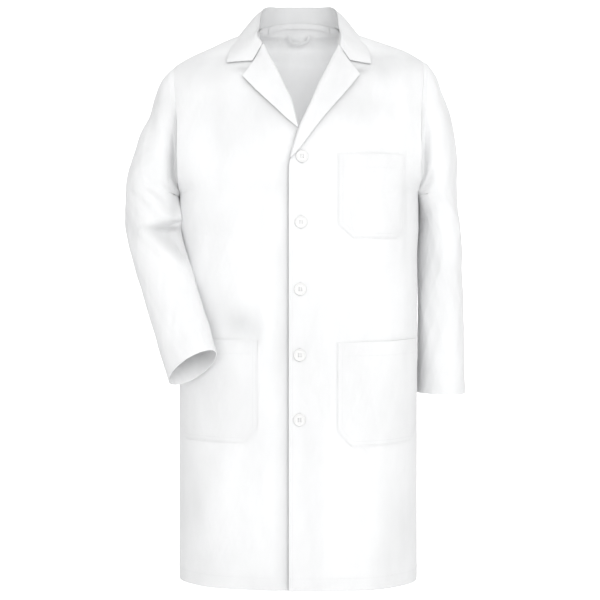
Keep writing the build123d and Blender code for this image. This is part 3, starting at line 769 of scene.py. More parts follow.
COLLAR = [
    (on_front(0.0690, 0.966, -0.0010), on_front(0.0735, 0.966, 0.0050),
     on_front(0.0905, 0.937, 0.0050), on_front(0.1280, 0.929, 0.0066)),
    (on_front(0.0705, 0.980, -0.0010), on_front(0.0745, 0.985, 0.0085),
     on_front(0.0955, 0.957, 0.0090), on_front(0.1262, 0.946, 0.0066)),
    ((0.0735, -0.030, 0.998), (0.0725, -0.036, 1.008), (0.0960, -0.043, 0.988), (0.1225, -0.043, 0.9710)),
    ((0.0750, -0.008, 1.005), (0.0715, -0.012, 1.030), (0.0925, -0.014, 1.014), (0.1140, -0.010, 0.9930)),
    ((0.0740, 0.014, 1.012), (0.0680, 0.012, 1.048), (0.0875, 0.018, 1.032), (0.1070, 0.022, 1.0020)),
    ((0.0660, 0.036, 1.020), (0.0590, 0.032, 1.058), (0.0750, 0.046, 1.040), (0.0900, 0.058, 1.0020)),
    ((0.0460, 0.055, 1.028), (0.0400, 0.050, 1.0615), (0.0500, 0.066, 1.043), (0.0580, 0.082, 1.0000)),
    ((0.0230, 0.063, 1.032), (0.0200, 0.058, 1.0635), (0.0240, 0.074, 1.045), (0.0280, 0.092, 0.9990)),
    ((0.0000, 0.0655, 1.033), (0.0000, 0.0605, 1.064), (0.0000, 0.077, 1.045), (0.0000, 0.095, 0.9990)),
]


def collar_lines(count):
    """Foot, fold, middle and edge points at each station round the neck, and how near each is to a front end."""
    left = np.array(COLLAR)
    right = left[-2::-1] * np.array([-1, 1, 1])
    right[-1] = [on_front(-0.0640, 0.968, -0.004), on_front(-0.0655, 0.972, 0.0030),
                 on_front(-0.0830, 0.936, 0.0045), on_front(-0.1285, 0.933, 0.0066)]
    where = np.linspace(0, len(left) * 2 - 2, count)
    ends = np.minimum(where, where[-1] - where)
    return catmull(np.concatenate([left, right]), where), 1 - step(ends, 0.0, 0.9)


def arc(a, b, c, t, corner):
    """A curve from a past b to c; with corner 1 it turns sharply at b, where t is a half."""
    bend = (1 - t) ** 2 * a + 2 * t * (1 - t) * (2 * b - (a + c) / 2) + t ** 2 * c
    sharp = a + (b - a) * t * 2 if t <= 0.5 else b + (c - b) * (2 * t - 1)
    return bend * (1 - corner) + sharp * corner


def make_collar():
    lines, corners = collar_lines(150)
    top_rows, top_hints, under_rows, under_hints = [], [], [], []
    for (foot, fold, mid, edge), corner in zip(lines, corners):
        up = unit(fold - foot)
        away = unit(mid - fold)
        inward = unit(np.array([-foot[0], -foot[1] + 0.005, 0.02]))
        outward = unit(np.cross(edge - fold, np.cross(UP, edge - fold)))
        outward = outward if outward[2] > 0 else -outward
        tall = np.linalg.norm(fold - foot)
        turn = min(0.0045, tall * 0.4)
        start, end = fold - up * turn, fold + away * 0.0045
        stand = [foot + (start - foot) * t for t in np.linspace(0, 1, 9)]
        roll = [start * (1 - t) ** 2 + 2 * t * (1 - t) * (2 * fold - (start + end) / 2) + end * t ** 2
                for t in np.linspace(0.1, 0.9, 9)]
        leaf = [arc(end, mid, edge, t, corner) for t in np.linspace(0, 1, 21)]
        top_rows.append(np.array(stand + roll + leaf))
        hints = [inward] * 9 + [unit(inward * (1 - k / 8) + UP + outward * k / 8) for k in range(9)] + [outward] * 21
        top_hints.append(hints)
        under_rows.append([arc(end, mid, edge, t, corner) for t in np.linspace(0.03, 0.985, 17)])
        under_hints.append([outward] * 17)
    p = np.array(top_rows)
    # painted shade: the stand and the inside of the roll, round the neck, are darkest, and the leaf is a little greyed
    tone = np.concatenate([np.full(12, 0.80), np.linspace(0.82, 0.96, 6), np.full(21, 0.96)])
    ob = sheet("upper_collar", p, grid_normals(p, np.array(top_hints)), TWILL, tone=tone)
    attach(ob, "bodice")
    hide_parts("upper_collar", "collar_stand", "collar_interlining")
    p = np.array(under_rows)
    n = grid_normals(p, np.array(under_hints))
    ob = sheet("under_collar", p - n * 0.0014, n, TWILL)
    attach(ob, "bodice")
    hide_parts("under_collar")


# ---------------------------------------------------------------- sleeves
LEFT_FAN = [(84.6, 0.2475, 0.0700, 0.002), (80, 0.2249, 0.0720, 0.001), (76, 0.2015, 0.0730, 0.0),
            (69, 0.1741, 0.0740, 0.0),
            (60, 0.1430, 0.0740, 0.001), (47, 0.1130, 0.0735, 0.001), (26, 0.0860, 0.0720, 0.001),
            (0, 0.0780, 0.0690, 0.001)]
RIGHT_FAN = [(84.2, 0.2430, 0.0700, 0.002), (79.5, 0.2242, 0.0700, 0.0), (75.1, 0.1992, 0.0690, -0.002),
             (68.2, 0.1661, 0.0680, -0.004), (58, 0.1450, 0.0670, -0.007), (45, 0.1250, 0.0655, -0.010),
             (28, 0.1120, 0.0635, -0.015), (10, 0.1055, 0.0610, -0.019)]


def fan_stations(sign, fan):
    out = []
    for angle, length, depth, cy in fan:
        c, s = math.cos(math.radians(angle)), math.sin(math.radians(angle))
        radial = np.array([sign * c, 0, s])
        centre = np.array([sign * PIVOT[0], cy, PIVOT[1]]) + radial * (FAN_START + length) / 2
        out.append((centre, radial, np.array([0, 1.0, 0]), (length - FAN_START) / 2, depth))
    return out


def left_stations():
    rows = fan_stations(1, LEFT_FAN)
    for h, cx, rx, cy, ry, turn in ((0.640, 0.2590, 0.0350, 0.004, 0.062, 16),
                                    (0.575, 0.2600, 0.0342, 0.006, 0.059, 22),
                                    (0.510, 0.2612, 0.0365, 0.007, 0.057, 23),
                                    (0.425, 0.2627, 0.0388, 0.007, 0.055, 23),
                                    (0.338, 0.2642, 0.0410, 0.006, 0.053, 23)):
        c, s = math.cos(math.radians(turn)), math.sin(math.radians(turn))
        rows.append((np.array([cx, cy, h]), np.array([c, s, 0]), np.array([-s, c, 0]), rx, ry))
    return rows


RIGHT_BEND = np.array([-0.274, -0.038, 0.655])
RIGHT_CUFF = np.array([-0.185, -0.150, 0.392])
R_ALONG = unit(RIGHT_CUFF - RIGHT_BEND)
R_INNER = np.array([0.205, -0.883, 0.419])
R_INNER = unit(R_INNER - R_ALONG * np.dot(R_INNER, R_ALONG))
R_AXIS = np.cross(R_ALONG, R_INNER)
CUFF_OUT = unit(np.array([-0.0415, 0.0120, -0.0275]))
CUFF_BACK = unit(np.array([0.0080, 0.0360, -0.0165]))


def right_stations():
    rows = fan_stations(-1, RIGHT_FAN)
    c, s = math.cos(math.radians(28)), math.sin(math.radians(28))
    rows.append((np.array([-0.2650, -0.041, 0.650]), np.array([-c, -s, 0.02]),
                 unit(np.array([-s, c, -0.25])), 0.0505, 0.0545))
    span_vector = RIGHT_CUFF - RIGHT_BEND
    for share, rx, ry in ((0.18, 0.0485, 0.0450), (0.42, 0.0480, 0.0425), (0.68, 0.0485, 0.0410)):
        turn = unit(R_AXIS * (1 - share) + CUFF_OUT * share)
        back = unit(-R_INNER * (1 - share) + CUFF_BACK * share)
        rows.append((RIGHT_BEND + span_vector * share, turn, back, rx, ry))
    rows.append((RIGHT_CUFF, CUFF_OUT, CUFF_BACK, 0.0512, 0.0404))
    return rows


def armhole_ring(sign, phi):
    middle, half = (ARMHOLE_TOP + 0.7003) / 2, (ARMHOLE_TOP - 0.7003) / 2
    h = middle + half * np.cos(phi)
    _, bf, bb, cy = (f(h) for f in BODY)
    share = np.minimum(1, armhole_x(h) / BODY[0](h))
    y = np.where(np.sin(phi) >= 0, cy + bb * armhole_depth(h), cy - bf * depth_share(share, h, sign))
    return np.stack([sign * armhole_x(h), y, h], -1)


def sleeve_folds(side, t, phi):
    """Displacement of a sleeve: t runs from 0 at the armhole to 1 at the cuff;
    phi is 0 outside, 90 behind, 180 inside, 270 in front."""
    if side == "left":
        d = 0.0025 * bell(t, 0.42, 0.03) * bell(wrap(phi - 5.0), 0, 0.9)
        d = d - 0.0035 * bell(t - 0.05 * np.sin(phi), 0.47, 0.022) * bell(wrap(phi - 4.4), 0, 0.8)
        d = d + 0.0024 * bell(t + 0.04 * np.sin(phi), 0.55, 0.030) * bell(wrap(phi - 4.9), 0, 0.8)
        d = d - 0.0030 * bell(t, 0.24, 0.05) * bell(wrap(phi - 4.2), 0, 0.5)
        d = d + 0.0022 * ripple(phi * 2.0, t * 9, 21) + 0.0009 * ripple(phi * 5.0, t * 26, 22)
        return d * step(t, 0.0, 0.06)
    d = 0.0022 * ripple(phi * 2.0, t * 9, 31) + 0.0010 * ripple(phi * 5.0, t * 24, 32)
    d = d - 0.0035 * bell(t, 0.300, 0.06) * bell(wrap(phi - 4.2), 0, 0.45)
    return d * step(t, 0.0, 0.06)


def seen_folds(side, p, n):
    """Folds placed where they show on the front of the sleeve:
    the elbow's creases and the hollow beside the armhole."""
    faces = step(-n[..., 1], 0.05, 0.55)
    sign = 1 if side == "left" else -1
    x, h = sign * p[..., 0], p[..., 2]
    hollow = bell(x, 0.2215, 0.013) * bell(h, 0.745, 0.075)
    d = -0.0095 * hollow + 0.0020 * bell(x, 0.252, 0.014) * bell(h, 0.750, 0.080)
    if side == "right":
        a, s = from_line(p, (-0.2700, 0.6400), (-0.2130, 0.6440))
        d = d - 0.0150 * bell(s, 0.0, 0.0065) * step(a, 0.0, 0.75)
        d = d + 0.0040 * bell(s, 0.0160, 0.0110) * step(a, 0.05, 0.8)
        a, s = from_line(p, (-0.3060, 0.6700), (-0.1980, 0.5660))
        inside = step(a, 0.02, 0.30) * (1 - step(a, 0.78, 1.05))
        d = d - 0.0060 * bell(s, 0.022, 0.014) * inside + 0.0055 * bell(s, -0.009, 0.012) * inside
        a, s = from_line(p, (-0.3050, 0.7350), (-0.2350, 0.6650))
        inside = step(a, 0.0, 0.35) * (1 - step(a, 0.75, 1.0))
        d = d + 0.0050 * bell(s, -0.006, 0.014) * inside - 0.0050 * bell(s, 0.016, 0.011) * inside
    return d * faces


def wrap(angle):
    return (np.asarray(angle) + math.pi) % (2 * math.pi) - math.pi


def sleeve_grid(side, rows=150, cols=112):
    sign = 1 if side == "left" else -1
    stations = left_stations() if side == "left" else right_stations()
    data = np.array([np.concatenate([c, e1, e2, [r1], [r2]]) for c, e1, e2, r1, r2 in stations])
    gaps = np.linalg.norm(np.diff(data[:, :3], axis=0), axis=1) + 0.02
    knots = np.concatenate([[0], np.cumsum(gaps)])
    knots = knots / knots[-1]
    ts = np.linspace(0, 1, rows)
    where = np.interp(ts, knots, np.arange(len(knots)))
    d = catmull(data, where)
    phi = np.linspace(0, 2 * math.pi, cols, endpoint=False)
    e1, e2 = unit(d[:, 3:6]), unit(d[:, 6:9])
    # the upper sleeve is a little squarer than an ellipse on its inner side, where it lies against the body
    power = 1 - 0.25 * (1 - step(ts, 0.45, 0.75))[:, None] * step(-np.cos(phi), -0.3, 0.5)[None, :]
    c, s = np.cos(phi)[None, :], np.sin(phi)[None, :]
    c, s = np.sign(c) * np.abs(c) ** power, np.sign(s) * np.abs(s) ** power
    ring = (d[:, None, :3] + e1[:, None] * (d[:, None, 9:10] * c[..., None])
            + e2[:, None] * (d[:, None, 10:11] * s[..., None]))
    seam = armhole_ring(sign, phi)
    first = ring[0]
    lead = np.array([seam + (first - seam) * s for s in np.linspace(0, 1, 7)[:-1]])
    grid = np.concatenate([lead, ring])
    count = len(grid)
    keep = step(np.linspace(0, 1, count), 0.0, 0.13)[:, None, None]
    pull = seam - grid[0]
    grid = grid + pull[None] * (1 - keep)
    t = np.linspace(0, 1, count)[:, None]
    hint = grid - grid.mean(axis=1, keepdims=True)
    n = ring_normals(grid, hint)
    fold = sleeve_folds(side, t, phi[None, :]) + seen_folds(side, grid, n) * step(t, 0.0, 0.03)
    # the folds die away into the underarm, where the cloth is held
    reach = np.hypot(np.abs(grid[..., 0]) - PIVOT[0], grid[..., 2] - PIVOT[1])
    grid = grid + n * (fold * step(reach, 0.006, 0.045))[..., None]
    return grid, ring_normals(grid, hint)


def ring_normals(p, hint):
    du = np.roll(p, -1, axis=1) - np.roll(p, 1, axis=1)
    dv = np.gradient(p, axis=0)
    n = unit(np.cross(du, dv))
    same = np.sign(np.sum(n * hint, axis=-1, keepdims=True))
    vote = np.sign(np.sum(same))
    return n * (vote if vote != 0 else 1)


SLEEVES = {
    "left": dict(loop_h=0.656, upper="left_upper", lower="left_lower",
                 cap=dict(start=(0.2185, 0, 0.706), end=(0.2520, 0, 0.6830)),
                 elbow=dict(start=(0.258, -0.02, 0.654), end=(0.258, -0.02, 0.586))),
    "right": dict(loop_h=0.664, upper="right_upper", lower="right_lower",
                  cap=dict(start=(-0.2185, 0, 0.706), end=(-0.2520, 0, 0.6830)),
                  elbow=None),
}


def make_sleeve(side):
    spec = SLEEVES[side]
    grid, n = sleeve_grid(side)
    mean_h = grid[:, :, 2].mean(axis=1)
    split = int(np.argmin(np.abs(mean_h - spec["loop_h"])))
    top = sheet(side + "_sleeve_top", grid[:split + 1], n[:split + 1], TWILL, ring=True,
                tone=sleeve_painted_shading(side, grid[:split + 1], n[:split + 1]))
    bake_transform(top)
    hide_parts(side + "_sleeve_cap", side + "_shoulder_fold", side + "_upper_sleeve")
    # lower sleeve, with its hem turned up inside
    outer_p, outer_n = grid[split:], n[split:]
    down = unit(grid[-1].mean(0) - grid[-4].mean(0))
    inside_p, inside_n = [], []
    for angle in np.linspace(0.12, math.pi - 0.12, 7):
        r = ROLL
        inside_p.append(grid[-1] - n[-1] * (r * (1 - math.cos(angle))) + down * (r * math.sin(angle)))
        inside_n.append(n[-1] * math.cos(angle) + down * math.sin(angle))
    for k in range(1, 14):
        inside_p.append(grid[-1 - k] - n[-1 - k] * 2 * ROLL)
        inside_n.append(-n[-1 - k])
    p = np.concatenate([outer_p, inside_p])
    nn = np.concatenate([outer_n, inside_n])
    low = sheet(side + "_sleeve_lower", p, nn, TWILL, ring=True, tone=sleeve_painted_shading(side, p, nn))
    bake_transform(low)
    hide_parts(side + "_elbow_fold", side + "_lower_sleeve", side + "_cuff_hem")


# ---------------------------------------------------------------- pockets
# inner and outer edge, mouth and foot, and each mitre's width and height (inner, then outer)
POCKETS = {
    "chest_pocket": dict(corners=(0.0685, 0.1885, 0.7650, 0.6180), cuts=((0.0270, 0.0235), (0.0200, 0.0150)), slope=0.0,
                         node="chest_pocket", hem="chest_pocket_hem", body="bodice", off=0.0),
    "left_pocket": dict(corners=(0.0670, 0.2115, 0.4345, 0.2530),
                        cuts=((0.0250, 0.0270), (0.0250, 0.0270)), slope=0.006,
                        node="left_pocket", hem="left_pocket_hem", body="left_front", off=0.0),
    "right_pocket": dict(corners=(-0.0735, -0.2120, 0.4380, 0.2590),
                         cuts=((0.0230, 0.0250), (0.0230, 0.0250)), slope=0.002,
                         node="right_pocket", hem="right_pocket_hem", body="bodice", off=-0.0026),
}


def pocket_x(spec, away):
    """The x of a point on the pocket from its distance round the body from the inner edge."""
    x0, x1, top, low = spec["corners"]
    xs = np.linspace(x0, x1, 200)
    p, _ = front_at(xs, (top + low) / 2)
    s = np.concatenate([[0], np.cumsum(np.linalg.norm(np.diff(p, axis=0), axis=1))])
    return np.interp(away, s, xs), float(s[-1])


def pocket_grid(spec, rows=64, cols=44):
    _, _, top, low = spec["corners"]
    (in_w, in_h), (out_w, out_h) = spec["cuts"]
    _, width = pocket_x(spec, 0.0)
    hs = heights(low, top, rows, (low + in_h, low + out_h))
    away = np.array([span(in_w * max(0.0, 1 - (h - low) / in_h), width - out_w * max(0.0, 1 - (h - low) / out_h), cols)
                     for h in hs])
    xs, _ = pocket_x(spec, away)
    hh = np.repeat(hs[:, None], cols, 1)
    share = (hh - low) / (top - low)
    hh = hh + spec["slope"] * (away / width) ** 2
    return xs, hh, share, away / width


def pocket_off(spec, xs, hh, share, across):
    """The pocket lies flat at its stitched edges and stands off a little in between, most at the mouth."""
    base = spec["off"] * (1 - step(-xs, 0.04, 0.15)) if spec["off"] else np.zeros_like(xs)
    stand = 0.0032 * np.sin(math.pi * np.clip(across, 0, 1)) * step(share, 0.05, 1.0)
    return base + 0.0012 + stand


def make_pocket(name):
    spec = POCKETS[name]
    xs, hh, share, across = pocket_grid(spec)
    off = pocket_off(spec, xs, hh, share, across)
    p, n = surface(theta_at(xs, hh), hh, off, not spec["off"])
    # the mouth is turned down inside as a wide hem
    inner_p, inner_n = [], []
    for angle in np.linspace(0.15, math.pi - 0.15, 6):
        inner_p.append(p[-1] - n[-1] * (0.0007 * (1 - math.cos(angle))) + UP * (0.0007 * math.sin(angle)))
        inner_n.append(n[-1] * math.cos(angle) + UP * math.sin(angle))
    for k in range(1, 10):
        inner_p.append(p[-1 - k] - n[-1 - k] * 0.0013)
        inner_n.append(-n[-1 - k])
    pts = np.concatenate([p, inner_p])
    nrm = np.concatenate([n, inner_n])
    ob = sheet(name, pts, nrm, TWILL, thick=0.0005, tone=front_painted_shade(np.array(pts), False))
    if spec["body"] == "left_front":
        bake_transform(ob)
    else:
        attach(ob, "bodice")
    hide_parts(spec["node"], spec["hem"])
    _, width = pocket_x(spec, 0.0)
    tall = spec["corners"][2] - spec["corners"][3]
    hem_line = pocket_line(spec, np.linspace(0.003, width - 0.003, 60), np.full(60, tall - 0.0235))
    return [pocket_path(spec, inset, width, tall) for inset in (0.0020, 0.0082)] + [hem_line]


def pocket_line(spec, away, up):
    """Points on the pocket's face from distances round from the inner edge and up from the foot."""
    _, _, top, low = spec["corners"]
    xs, width = pocket_x(spec, away)
    share = up / (top - low)
    hh = low + up + spec["slope"] * (away / width) ** 2
    return surface(theta_at(xs, hh), hh, pocket_off(spec, xs, hh, share, away / width), not spec["off"])


def pocket_path(spec, inset, width, tall):
    """A line of stitching just inside the pocket's sides and mitred foot."""
    (in_w, in_h), (out_w, out_h) = spec["cuts"]
    k = inset * 0.41
    corners = [(inset, tall - 0.001), (inset, in_h + k), (in_w + k, inset), (width - out_w - k, inset),
               (width - inset, out_h + k), (width - inset, tall - 0.001)]
    line = polyline(corners, np.linspace(0, 1, 260))
    return pocket_line(spec, line[:, 0], line[:, 1])


# ---------------------------------------------------------------- seams
def make_stitching():
    hs = np.linspace(0.006, 0.745, 420)
    for number, inset in enumerate((0.0025, 0.0065), start=1):
        x = LEFT_EDGE(hs) + inset
        ob = stitches("left_edge_stitching_%d" % number, [front_at(x, hs, 0.0)], THREAD)
        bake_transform(ob)
    # hem stitching
    left_theta = span(theta_at(LEFT_EDGE(0.022), 0.022), 0.0, 400)
    ob = stitches("left_hem_stitching", [surface(left_theta, np.full(400, 0.0225), 0.0)], THREAD)
    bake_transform(ob)
    right_theta = span(theta_at(-0.020, 0.022), math.pi, 400)
    back_theta = span(math.pi, 2 * math.pi, 800)
    right_line = surface(right_theta, np.full(400, 0.0225), right_off(right_theta, 0.0225), False)
    ob = stitches("hem_stitching", [right_line, surface(-(back_theta - math.pi), np.full(800, 0.0225), 0.0)], THREAD)
    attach(ob, "bodice")


# ---------------------------------------------------------------- buttons
BUTTON_SHIFT = (0.0034, 0.0017, 0.0002, -0.0006, -0.0010)


def button_place(number):
    """A button's centre on the front's face, its radius and thickness, and its axes: right, outward and up."""
    low, high = (np.array(c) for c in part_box("button_%d" % number))
    x = (low[0] + high[0]) / 2 + BUTTON_SHIFT[number - 1]
    p, n = front_at(x, (low[2] + high[2]) / 2 - HEM_Z, 0.0)
    out = unit(n.reshape(3))
    across = unit(np.cross(UP, out))
    return (placed(p.reshape(3)) + out * 0.0007, (high[0] - low[0]) / 2, high[1] - low[1],
            across, out, np.cross(out, across))


def make_buttons():
    # radius and height above the cloth, as shares of the button's own
    profile = [(0.0, 0.72), (0.30, 0.72), (0.55, 0.70), (0.68, 0.66), (0.75, 0.74), (0.80, 0.88),
               (0.86, 0.98), (0.915, 1.0),
               (0.965, 0.92), (0.995, 0.72), (1.0, 0.50), (0.985, 0.30), (0.93, 0.16), (0.80, 0.10),
                (0.40, 0.08), (0.0, 0.08)]
    sides = 64
    for number in range(1, 6):
        centre, radius, thick, across, out, up = button_place(number)
        verts, faces = [], []
        for r, d in profile:
            for k in range(sides):
                a = 2 * math.pi * k / sides
                verts.append(centre + (across * math.cos(a) + up * math.sin(a)) * r * radius + out * d * thick)
        for i in range(len(profile) - 1):
            for k in range(sides):
                a, b = i * sides + k, i * sides + (k + 1) % sides
                faces.append([a, b, b + sides, a + sides])
        mesh = bpy.data.meshes.new("button_disc")
        mesh.from_pydata([tuple(v) for v in verts], [], faces)
        mesh.update()
        weld(mesh)
        disc = bpy.data.objects.new("button_disc_%d" % number, mesh)
        bpy.context.scene.collection.objects.link(disc)
        cutters = []
        for sx in (-1, 1):
            for sz in (-1, 1):
                hole = centre + across * sx * 0.0021 + up * sz * 0.0021 + out * thick * 0.5
                cutters.append(cylinder(hole, 0.0010, thick * 3, 24, across, out, up))
        for cut in cutters:
            m = disc.modifiers.new("hole", "BOOLEAN")
            m.operation = "DIFFERENCE"
            m.solver = "EXACT"
            m.object = cut
        bake(disc)
        for cut in cutters:
            bpy.data.objects.remove(cut)
        disc.data.materials.clear()
        disc.data.materials.append(BUTTON)
        shade_by_angle(disc.data, 40)
        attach(disc, "bodice")
        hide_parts("button_%d" % number)
        make_button_thread(number, centre, thick, across, out, up)


def weld(mesh):
    import bmesh
    bm = bmesh.new()
    bm.from_mesh(mesh)
    bmesh.ops.remove_doubles(bm, verts=bm.verts, dist=1e-7)
    bmesh.ops.recalc_face_normals(bm, faces=bm.faces)
    bm.to_mesh(mesh)
    bm.free()


def cylinder(centre, radius, depth, sides, across, out, up):
    """A closed cylinder along out."""
    verts, faces = [], []
    for end in (-0.5, 0.5):
        for k in range(sides):
            a = 2 * math.pi * k / sides
            verts.append(tuple(centre + (across * math.cos(a) + up * math.sin(a)) * radius + out * end * depth))
    for k in range(sides):
        faces.append([k, (k + 1) % sides, sides + (k + 1) % sides, sides + k])
    faces.append(list(range(sides))[::-1])
    faces.append([sides + k for k in range(sides)])
    mesh = bpy.data.meshes.new("cut")
    mesh.from_pydata(verts, [], faces)
    mesh.update()
    weld(mesh)
    ob = bpy.data.objects.new("cut", mesh)
    bpy.context.scene.collection.objects.link(ob)
    return ob


def bake(ob):
    """Applies the object's modifiers."""
    deps = bpy.context.evaluated_depsgraph_get()
    mesh = bpy.data.meshes.new_from_object(ob.evaluated_get(deps))
    ob.modifiers.clear()
    ob.data = mesh


def shade_by_angle(mesh, degrees):
    mesh.polygons.foreach_set("use_smooth", [True] * len(mesh.polygons))
    mesh.set_sharp_from_angle(angle=math.radians(degrees))


def tube_mesh(paths, radius, sides=8):
    """Round strands along polylines, as one mesh's vertices and faces."""
    verts, faces = [], []
    for pts in paths:
        pts = np.asarray(pts, float)
        tangents = unit(np.gradient(pts, axis=0))
        ref = np.array([0.3, 0.2, 0.9])
        base = len(verts)
        for c, t in zip(pts, tangents):
            side = unit(np.cross(t, ref))
            up = np.cross(side, t)
            for k in range(sides):
                a = 2 * math.pi * k / sides
                verts.append(c + (side * math.cos(a) + up * math.sin(a)) * radius)
        for i in range(len(pts) - 1):
            for k in range(sides):
                a, b = base + i * sides + k, base + i * sides + (k + 1) % sides
                faces.append([a, a + sides, b + sides, b])
        faces.append([base + k for k in range(sides)])
        faces.append([base + (len(pts) - 1) * sides + k for k in range(sides)][::-1])
    return verts, faces


def make_button_thread(number, centre, thick, across, out, up):
    """Strands through the four holes, side by side, and the wound shank behind the button."""
    def at(x, depth, z):
        return centre + across * x + out * depth + up * z

    face = 0.72 * thick
    behind = -0.004
    paths = []
    for sx in (-1, 1):
        for shift in (-0.00035, 0.00035):
            x = sx * 0.0021 + shift
            paths.append([at(x, behind * 0.2, -0.0021), at(x, face, -0.0020), at(x, face + 0.00035, -0.0013),
                          at(x, face + 0.0005, 0), at(x, face + 0.00035, 0.0013),
                           at(x, face, 0.0020), at(x, behind * 0.2, 0.0021)])
    shank = []
    for k in range(120):
        t = k / 119
        a = 2 * math.pi * 9 * t
        r = 0.0013 + 0.0004 * abs(math.sin(a * 0.37))
        shank.append(at(r * math.cos(a), 0.0003 + (behind - 0.0003) * t, r * math.sin(a)))
    v1, f1 = tube_mesh(paths, 0.00032)
    v2, f2 = tube_mesh([shank], 0.00030, 6)
    verts = v1 + v2
    faces = f1 + [[i + len(v1) for i in f] for f in f2]
    mesh = bpy.data.meshes.new("thread")
    mesh.from_pydata([tuple(v) for v in verts], [], faces)
    mesh.update()
    mesh.polygons.foreach_set("use_smooth", [True] * len(mesh.polygons))
    mesh.materials.append(THREAD)
    ob = bpy.data.objects.new("button_strands_%d" % number, mesh)
    bpy.context.scene.collection.objects.link(ob)
    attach(ob, "bodice")
    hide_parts("button_%d_thread" % number)


def make_buttonholes():
    """A worked border of close stitches round each upright slit."""
    for number in range(1, 6):
        low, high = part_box("button_%d" % number)
        x, h = (low[0] + high[0]) / 2 + BUTTON_SHIFT[number - 1], (low[2] + high[2]) / 2 - HEM_Z
        paths = []
        half, wide = 0.0100, 0.0011
        outline = []
        for k in range(52):
            t = k / 51 * 2 - 1
            outline.append((x - wide, h + half * t, -1))
            outline.append((x + wide, h + half * t, 1))
        for px, ph, way in outline:
            xs = np.array([px - way * 0.0004, px + way * 0.0016])
            paths.append(front_at(xs, np.array([ph, ph]), 0.0001))
        for end in (-1, 1):
            for k in range(6):
                xs = np.array([x - 0.0024, x + 0.0024])
                paths.append(front_at(xs, np.full(2, h + end * (half + 0.0004 * k)), 0.0001))
        ob = stitches("buttonhole_stitching_%d" % number, paths, THREAD, pitch=0.0019, length=0.0021, radius=0.00021)
        if number <= 2:
            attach(ob, "bodice")
        else:
            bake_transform(ob)
        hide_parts("buttonhole_%d" % number)


# ---------------------------------------------------------------- neck tape and hanger loop
def make_neck():
    rows_p, rows_n = [], []
    for t in np.linspace(0, 1, 7):
        h = 1.0180 + 0.010 * t
        theta = span(-math.pi / 2 - 0.85, -math.pi / 2 + 0.85, 60)
        top = BACK_NECK - 0.012 * (np.abs(theta + math.pi / 2) / 0.85) ** 2
        hh = top - 0.010 * (1 - t)
        p, n = surface(theta, hh, -0.0016)
        rows_p.append(p)
        rows_n.append(n)
    # the neck tape inside the back is painted a tenth darker, as shade
    ob = sheet("neck_binding", rows_p, rows_n, TAPE, tone=0.9)
    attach(ob, "bodice")
    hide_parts("neck_tape")
    low, high = (np.array(c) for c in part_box("hanger_loop"))
    cx, y = 0.0, (low[1] + high[1]) / 2
    half = (high[0] - low[0]) / 2 - 0.003
    top, foot = high[2] - 0.0015, low[2] + 0.002
    pts = []
    for x, z in ((-half, top), (-half * 0.97, top - 0.006), (-half * 0.8, foot + 0.004),
                (-half * 0.45, foot + 0.0008), (0, foot),
                 (half * 0.45, foot + 0.0008), (half * 0.8, foot + 0.004), (half * 0.97, top - 0.006), (half, top)):
        pts.append((x, y, z))
    line = catmull(pts, np.linspace(0, 8, 60))
    tangent = unit(np.gradient(line, axis=0))
    across = np.cross(tangent, np.array([0, 1.0, 0]))
    rows = [line + across * w for w in np.linspace(-0.0022, 0.0022, 6)]
    p = np.array(rows)
    p[..., 2] -= HEM_Z
    n = np.broadcast_to(np.array([0, -1.0, 0]), p.shape)
    # the hanger tape is painted a fifth darker, as shade inside the neck
    ob = sheet("hanger_tape", p, n, TAPE, thick=0.0009, tone=0.8)
    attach(ob, "loop")
    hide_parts("hanger_loop")


# ---------------------------------------------------------------- building
make_left_front()
make_right_front()
make_facing("left_facing", LEFT_EDGE, 1, -0.0009, 0.060, ("left_facing_chest", "left_facing_skirt"), True)
make_facing("right_facing", RIGHT_EDGE, -1, -0.0036, 0.060, ("right_facing",), False)
make_backs()
for side in ("left", "right"):
    make_lapel(side)
make_collar()
for side in ("left", "right"):
    make_sleeve(side)
for pocket in POCKETS:
    lines = make_pocket(pocket)
    seam = stitches(pocket + "_stitching", lines, THREAD)
    if POCKETS[pocket]["body"] == "left_front":
        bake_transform(seam)
    else:
        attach(seam, "bodice")
make_stitching()
make_buttons()
make_buttonholes()
make_neck()


# ---------------------------------------------------------------- stage, light and camera
def area_light(name, place, target, size, power, colour=(1, 1, 1)):
    data = bpy.data.lights.new(name, "AREA")
    data.shape = "RECTANGLE"
    data.size, data.size_y = size
    data.energy = power
    data.color = colour
    ob = bpy.data.objects.new(name, data)
    ob.location = place
    direction = np.array(target, float) - np.array(place, float)
    from mathutils import Vector
    ob.rotation_euler = Vector(direction).to_track_quat("-Z", "Y").to_euler()
    bpy.context.scene.collection.objects.link(ob)
    return ob


def stage_material(name, colour, glow):
    mat = bpy.data.materials.new(name)
    mat.use_nodes = True
    bsdf = mat.node_tree.nodes["Principled BSDF"]
    bsdf.inputs["Base Color"].default_value = (*colour, 1)
    bsdf.inputs["Roughness"].default_value = 1.0
    bsdf.inputs["Specular IOR Level"].default_value = 0.0
    bsdf.inputs["Emission Color"].default_value = (1, 1, 1, 1)
    bsdf.inputs["Emission Strength"].default_value = glow
    return mat


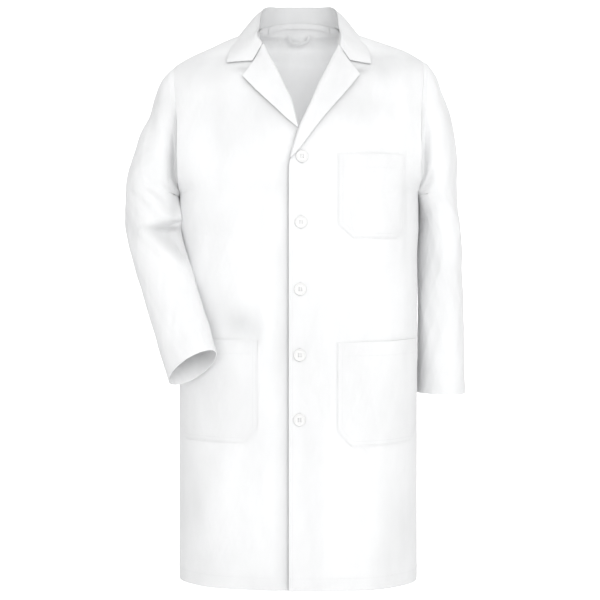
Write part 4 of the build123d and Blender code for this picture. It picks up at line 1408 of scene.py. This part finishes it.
def make_stage():
    """A pale floor that sweeps up into a lit white backdrop behind the coat."""
    floor_z = HEM_Z - 0.30
    profile = [(-4.0, 0.0), (0.3, 0.0), (0.85, 0.0), (1.6, 0.0), (2.4, 0.05), (2.9, 0.30),
               (3.15, 0.80), (3.2, 1.6), (3.2, 3.0)]
    xs = np.linspace(-2.4, 2.4, 9)
    verts = [(x, y, floor_z + z) for y, z in profile for x in xs]
    faces, lit = [], []
    for i in range(len(profile) - 1):
        for j in range(8):
            a = i * 9 + j
            faces.append([a, a + 1, a + 10, a + 9])
            lit.append(1 if profile[i][0] >= 0.85 else 0)
    mesh = bpy.data.meshes.new("backdrop")
    mesh.from_pydata(verts, [], faces)
    mesh.polygons.foreach_set("use_smooth", [True] * len(mesh.polygons))
    mesh.materials.append(stage_material("pale_floor", (0.84, 0.84, 0.84), 0.0))
    mesh.materials.append(stage_material("white_backdrop", (0.95, 0.95, 0.95), 0.60))
    mesh.polygons.foreach_set("material_index", lit)
    ob = bpy.data.objects.new("backdrop", mesh)
    bpy.context.scene.collection.objects.link(ob)


make_stage()
world = bpy.data.worlds.new("studio")
world.use_nodes = True
world.node_tree.nodes["Background"].inputs["Color"].default_value = (1, 1, 1, 1)
world.node_tree.nodes["Background"].inputs["Strength"].default_value = 0.77
scene = bpy.context.scene
scene.world = world
scene.view_settings.view_transform = "Standard"
scene.view_settings.look = "None"
area_light("key", (1.0, -3.0, 0.35), (0, 0, -0.55), (1.4, 1.4), 33)
area_light("front_fill", (-0.9, -3.5, -0.1), (0, 0, -0.58), (2.6, 2.6), 30)
inside = area_light("inside", (0.0, -0.045, -0.32), (0, 0.06, -0.02), (0.16, 0.11), 0.24)
inside.visible_camera = False

EYE_DISTANCE = 2.45
EYE_HEIGHT = 0.509
FIELD = 1.11
camera_data = bpy.data.cameras.new("camera")
camera_data.sensor_width = 36.0
camera_data.lens = camera_data.sensor_width * EYE_DISTANCE / FIELD
camera = bpy.data.objects.new("camera", camera_data)
camera.location = (0.00185, -EYE_DISTANCE, HEM_Z + EYE_HEIGHT)
camera.rotation_euler = (math.pi / 2, 0, 0)
scene.collection.objects.link(camera)
scene.camera = camera
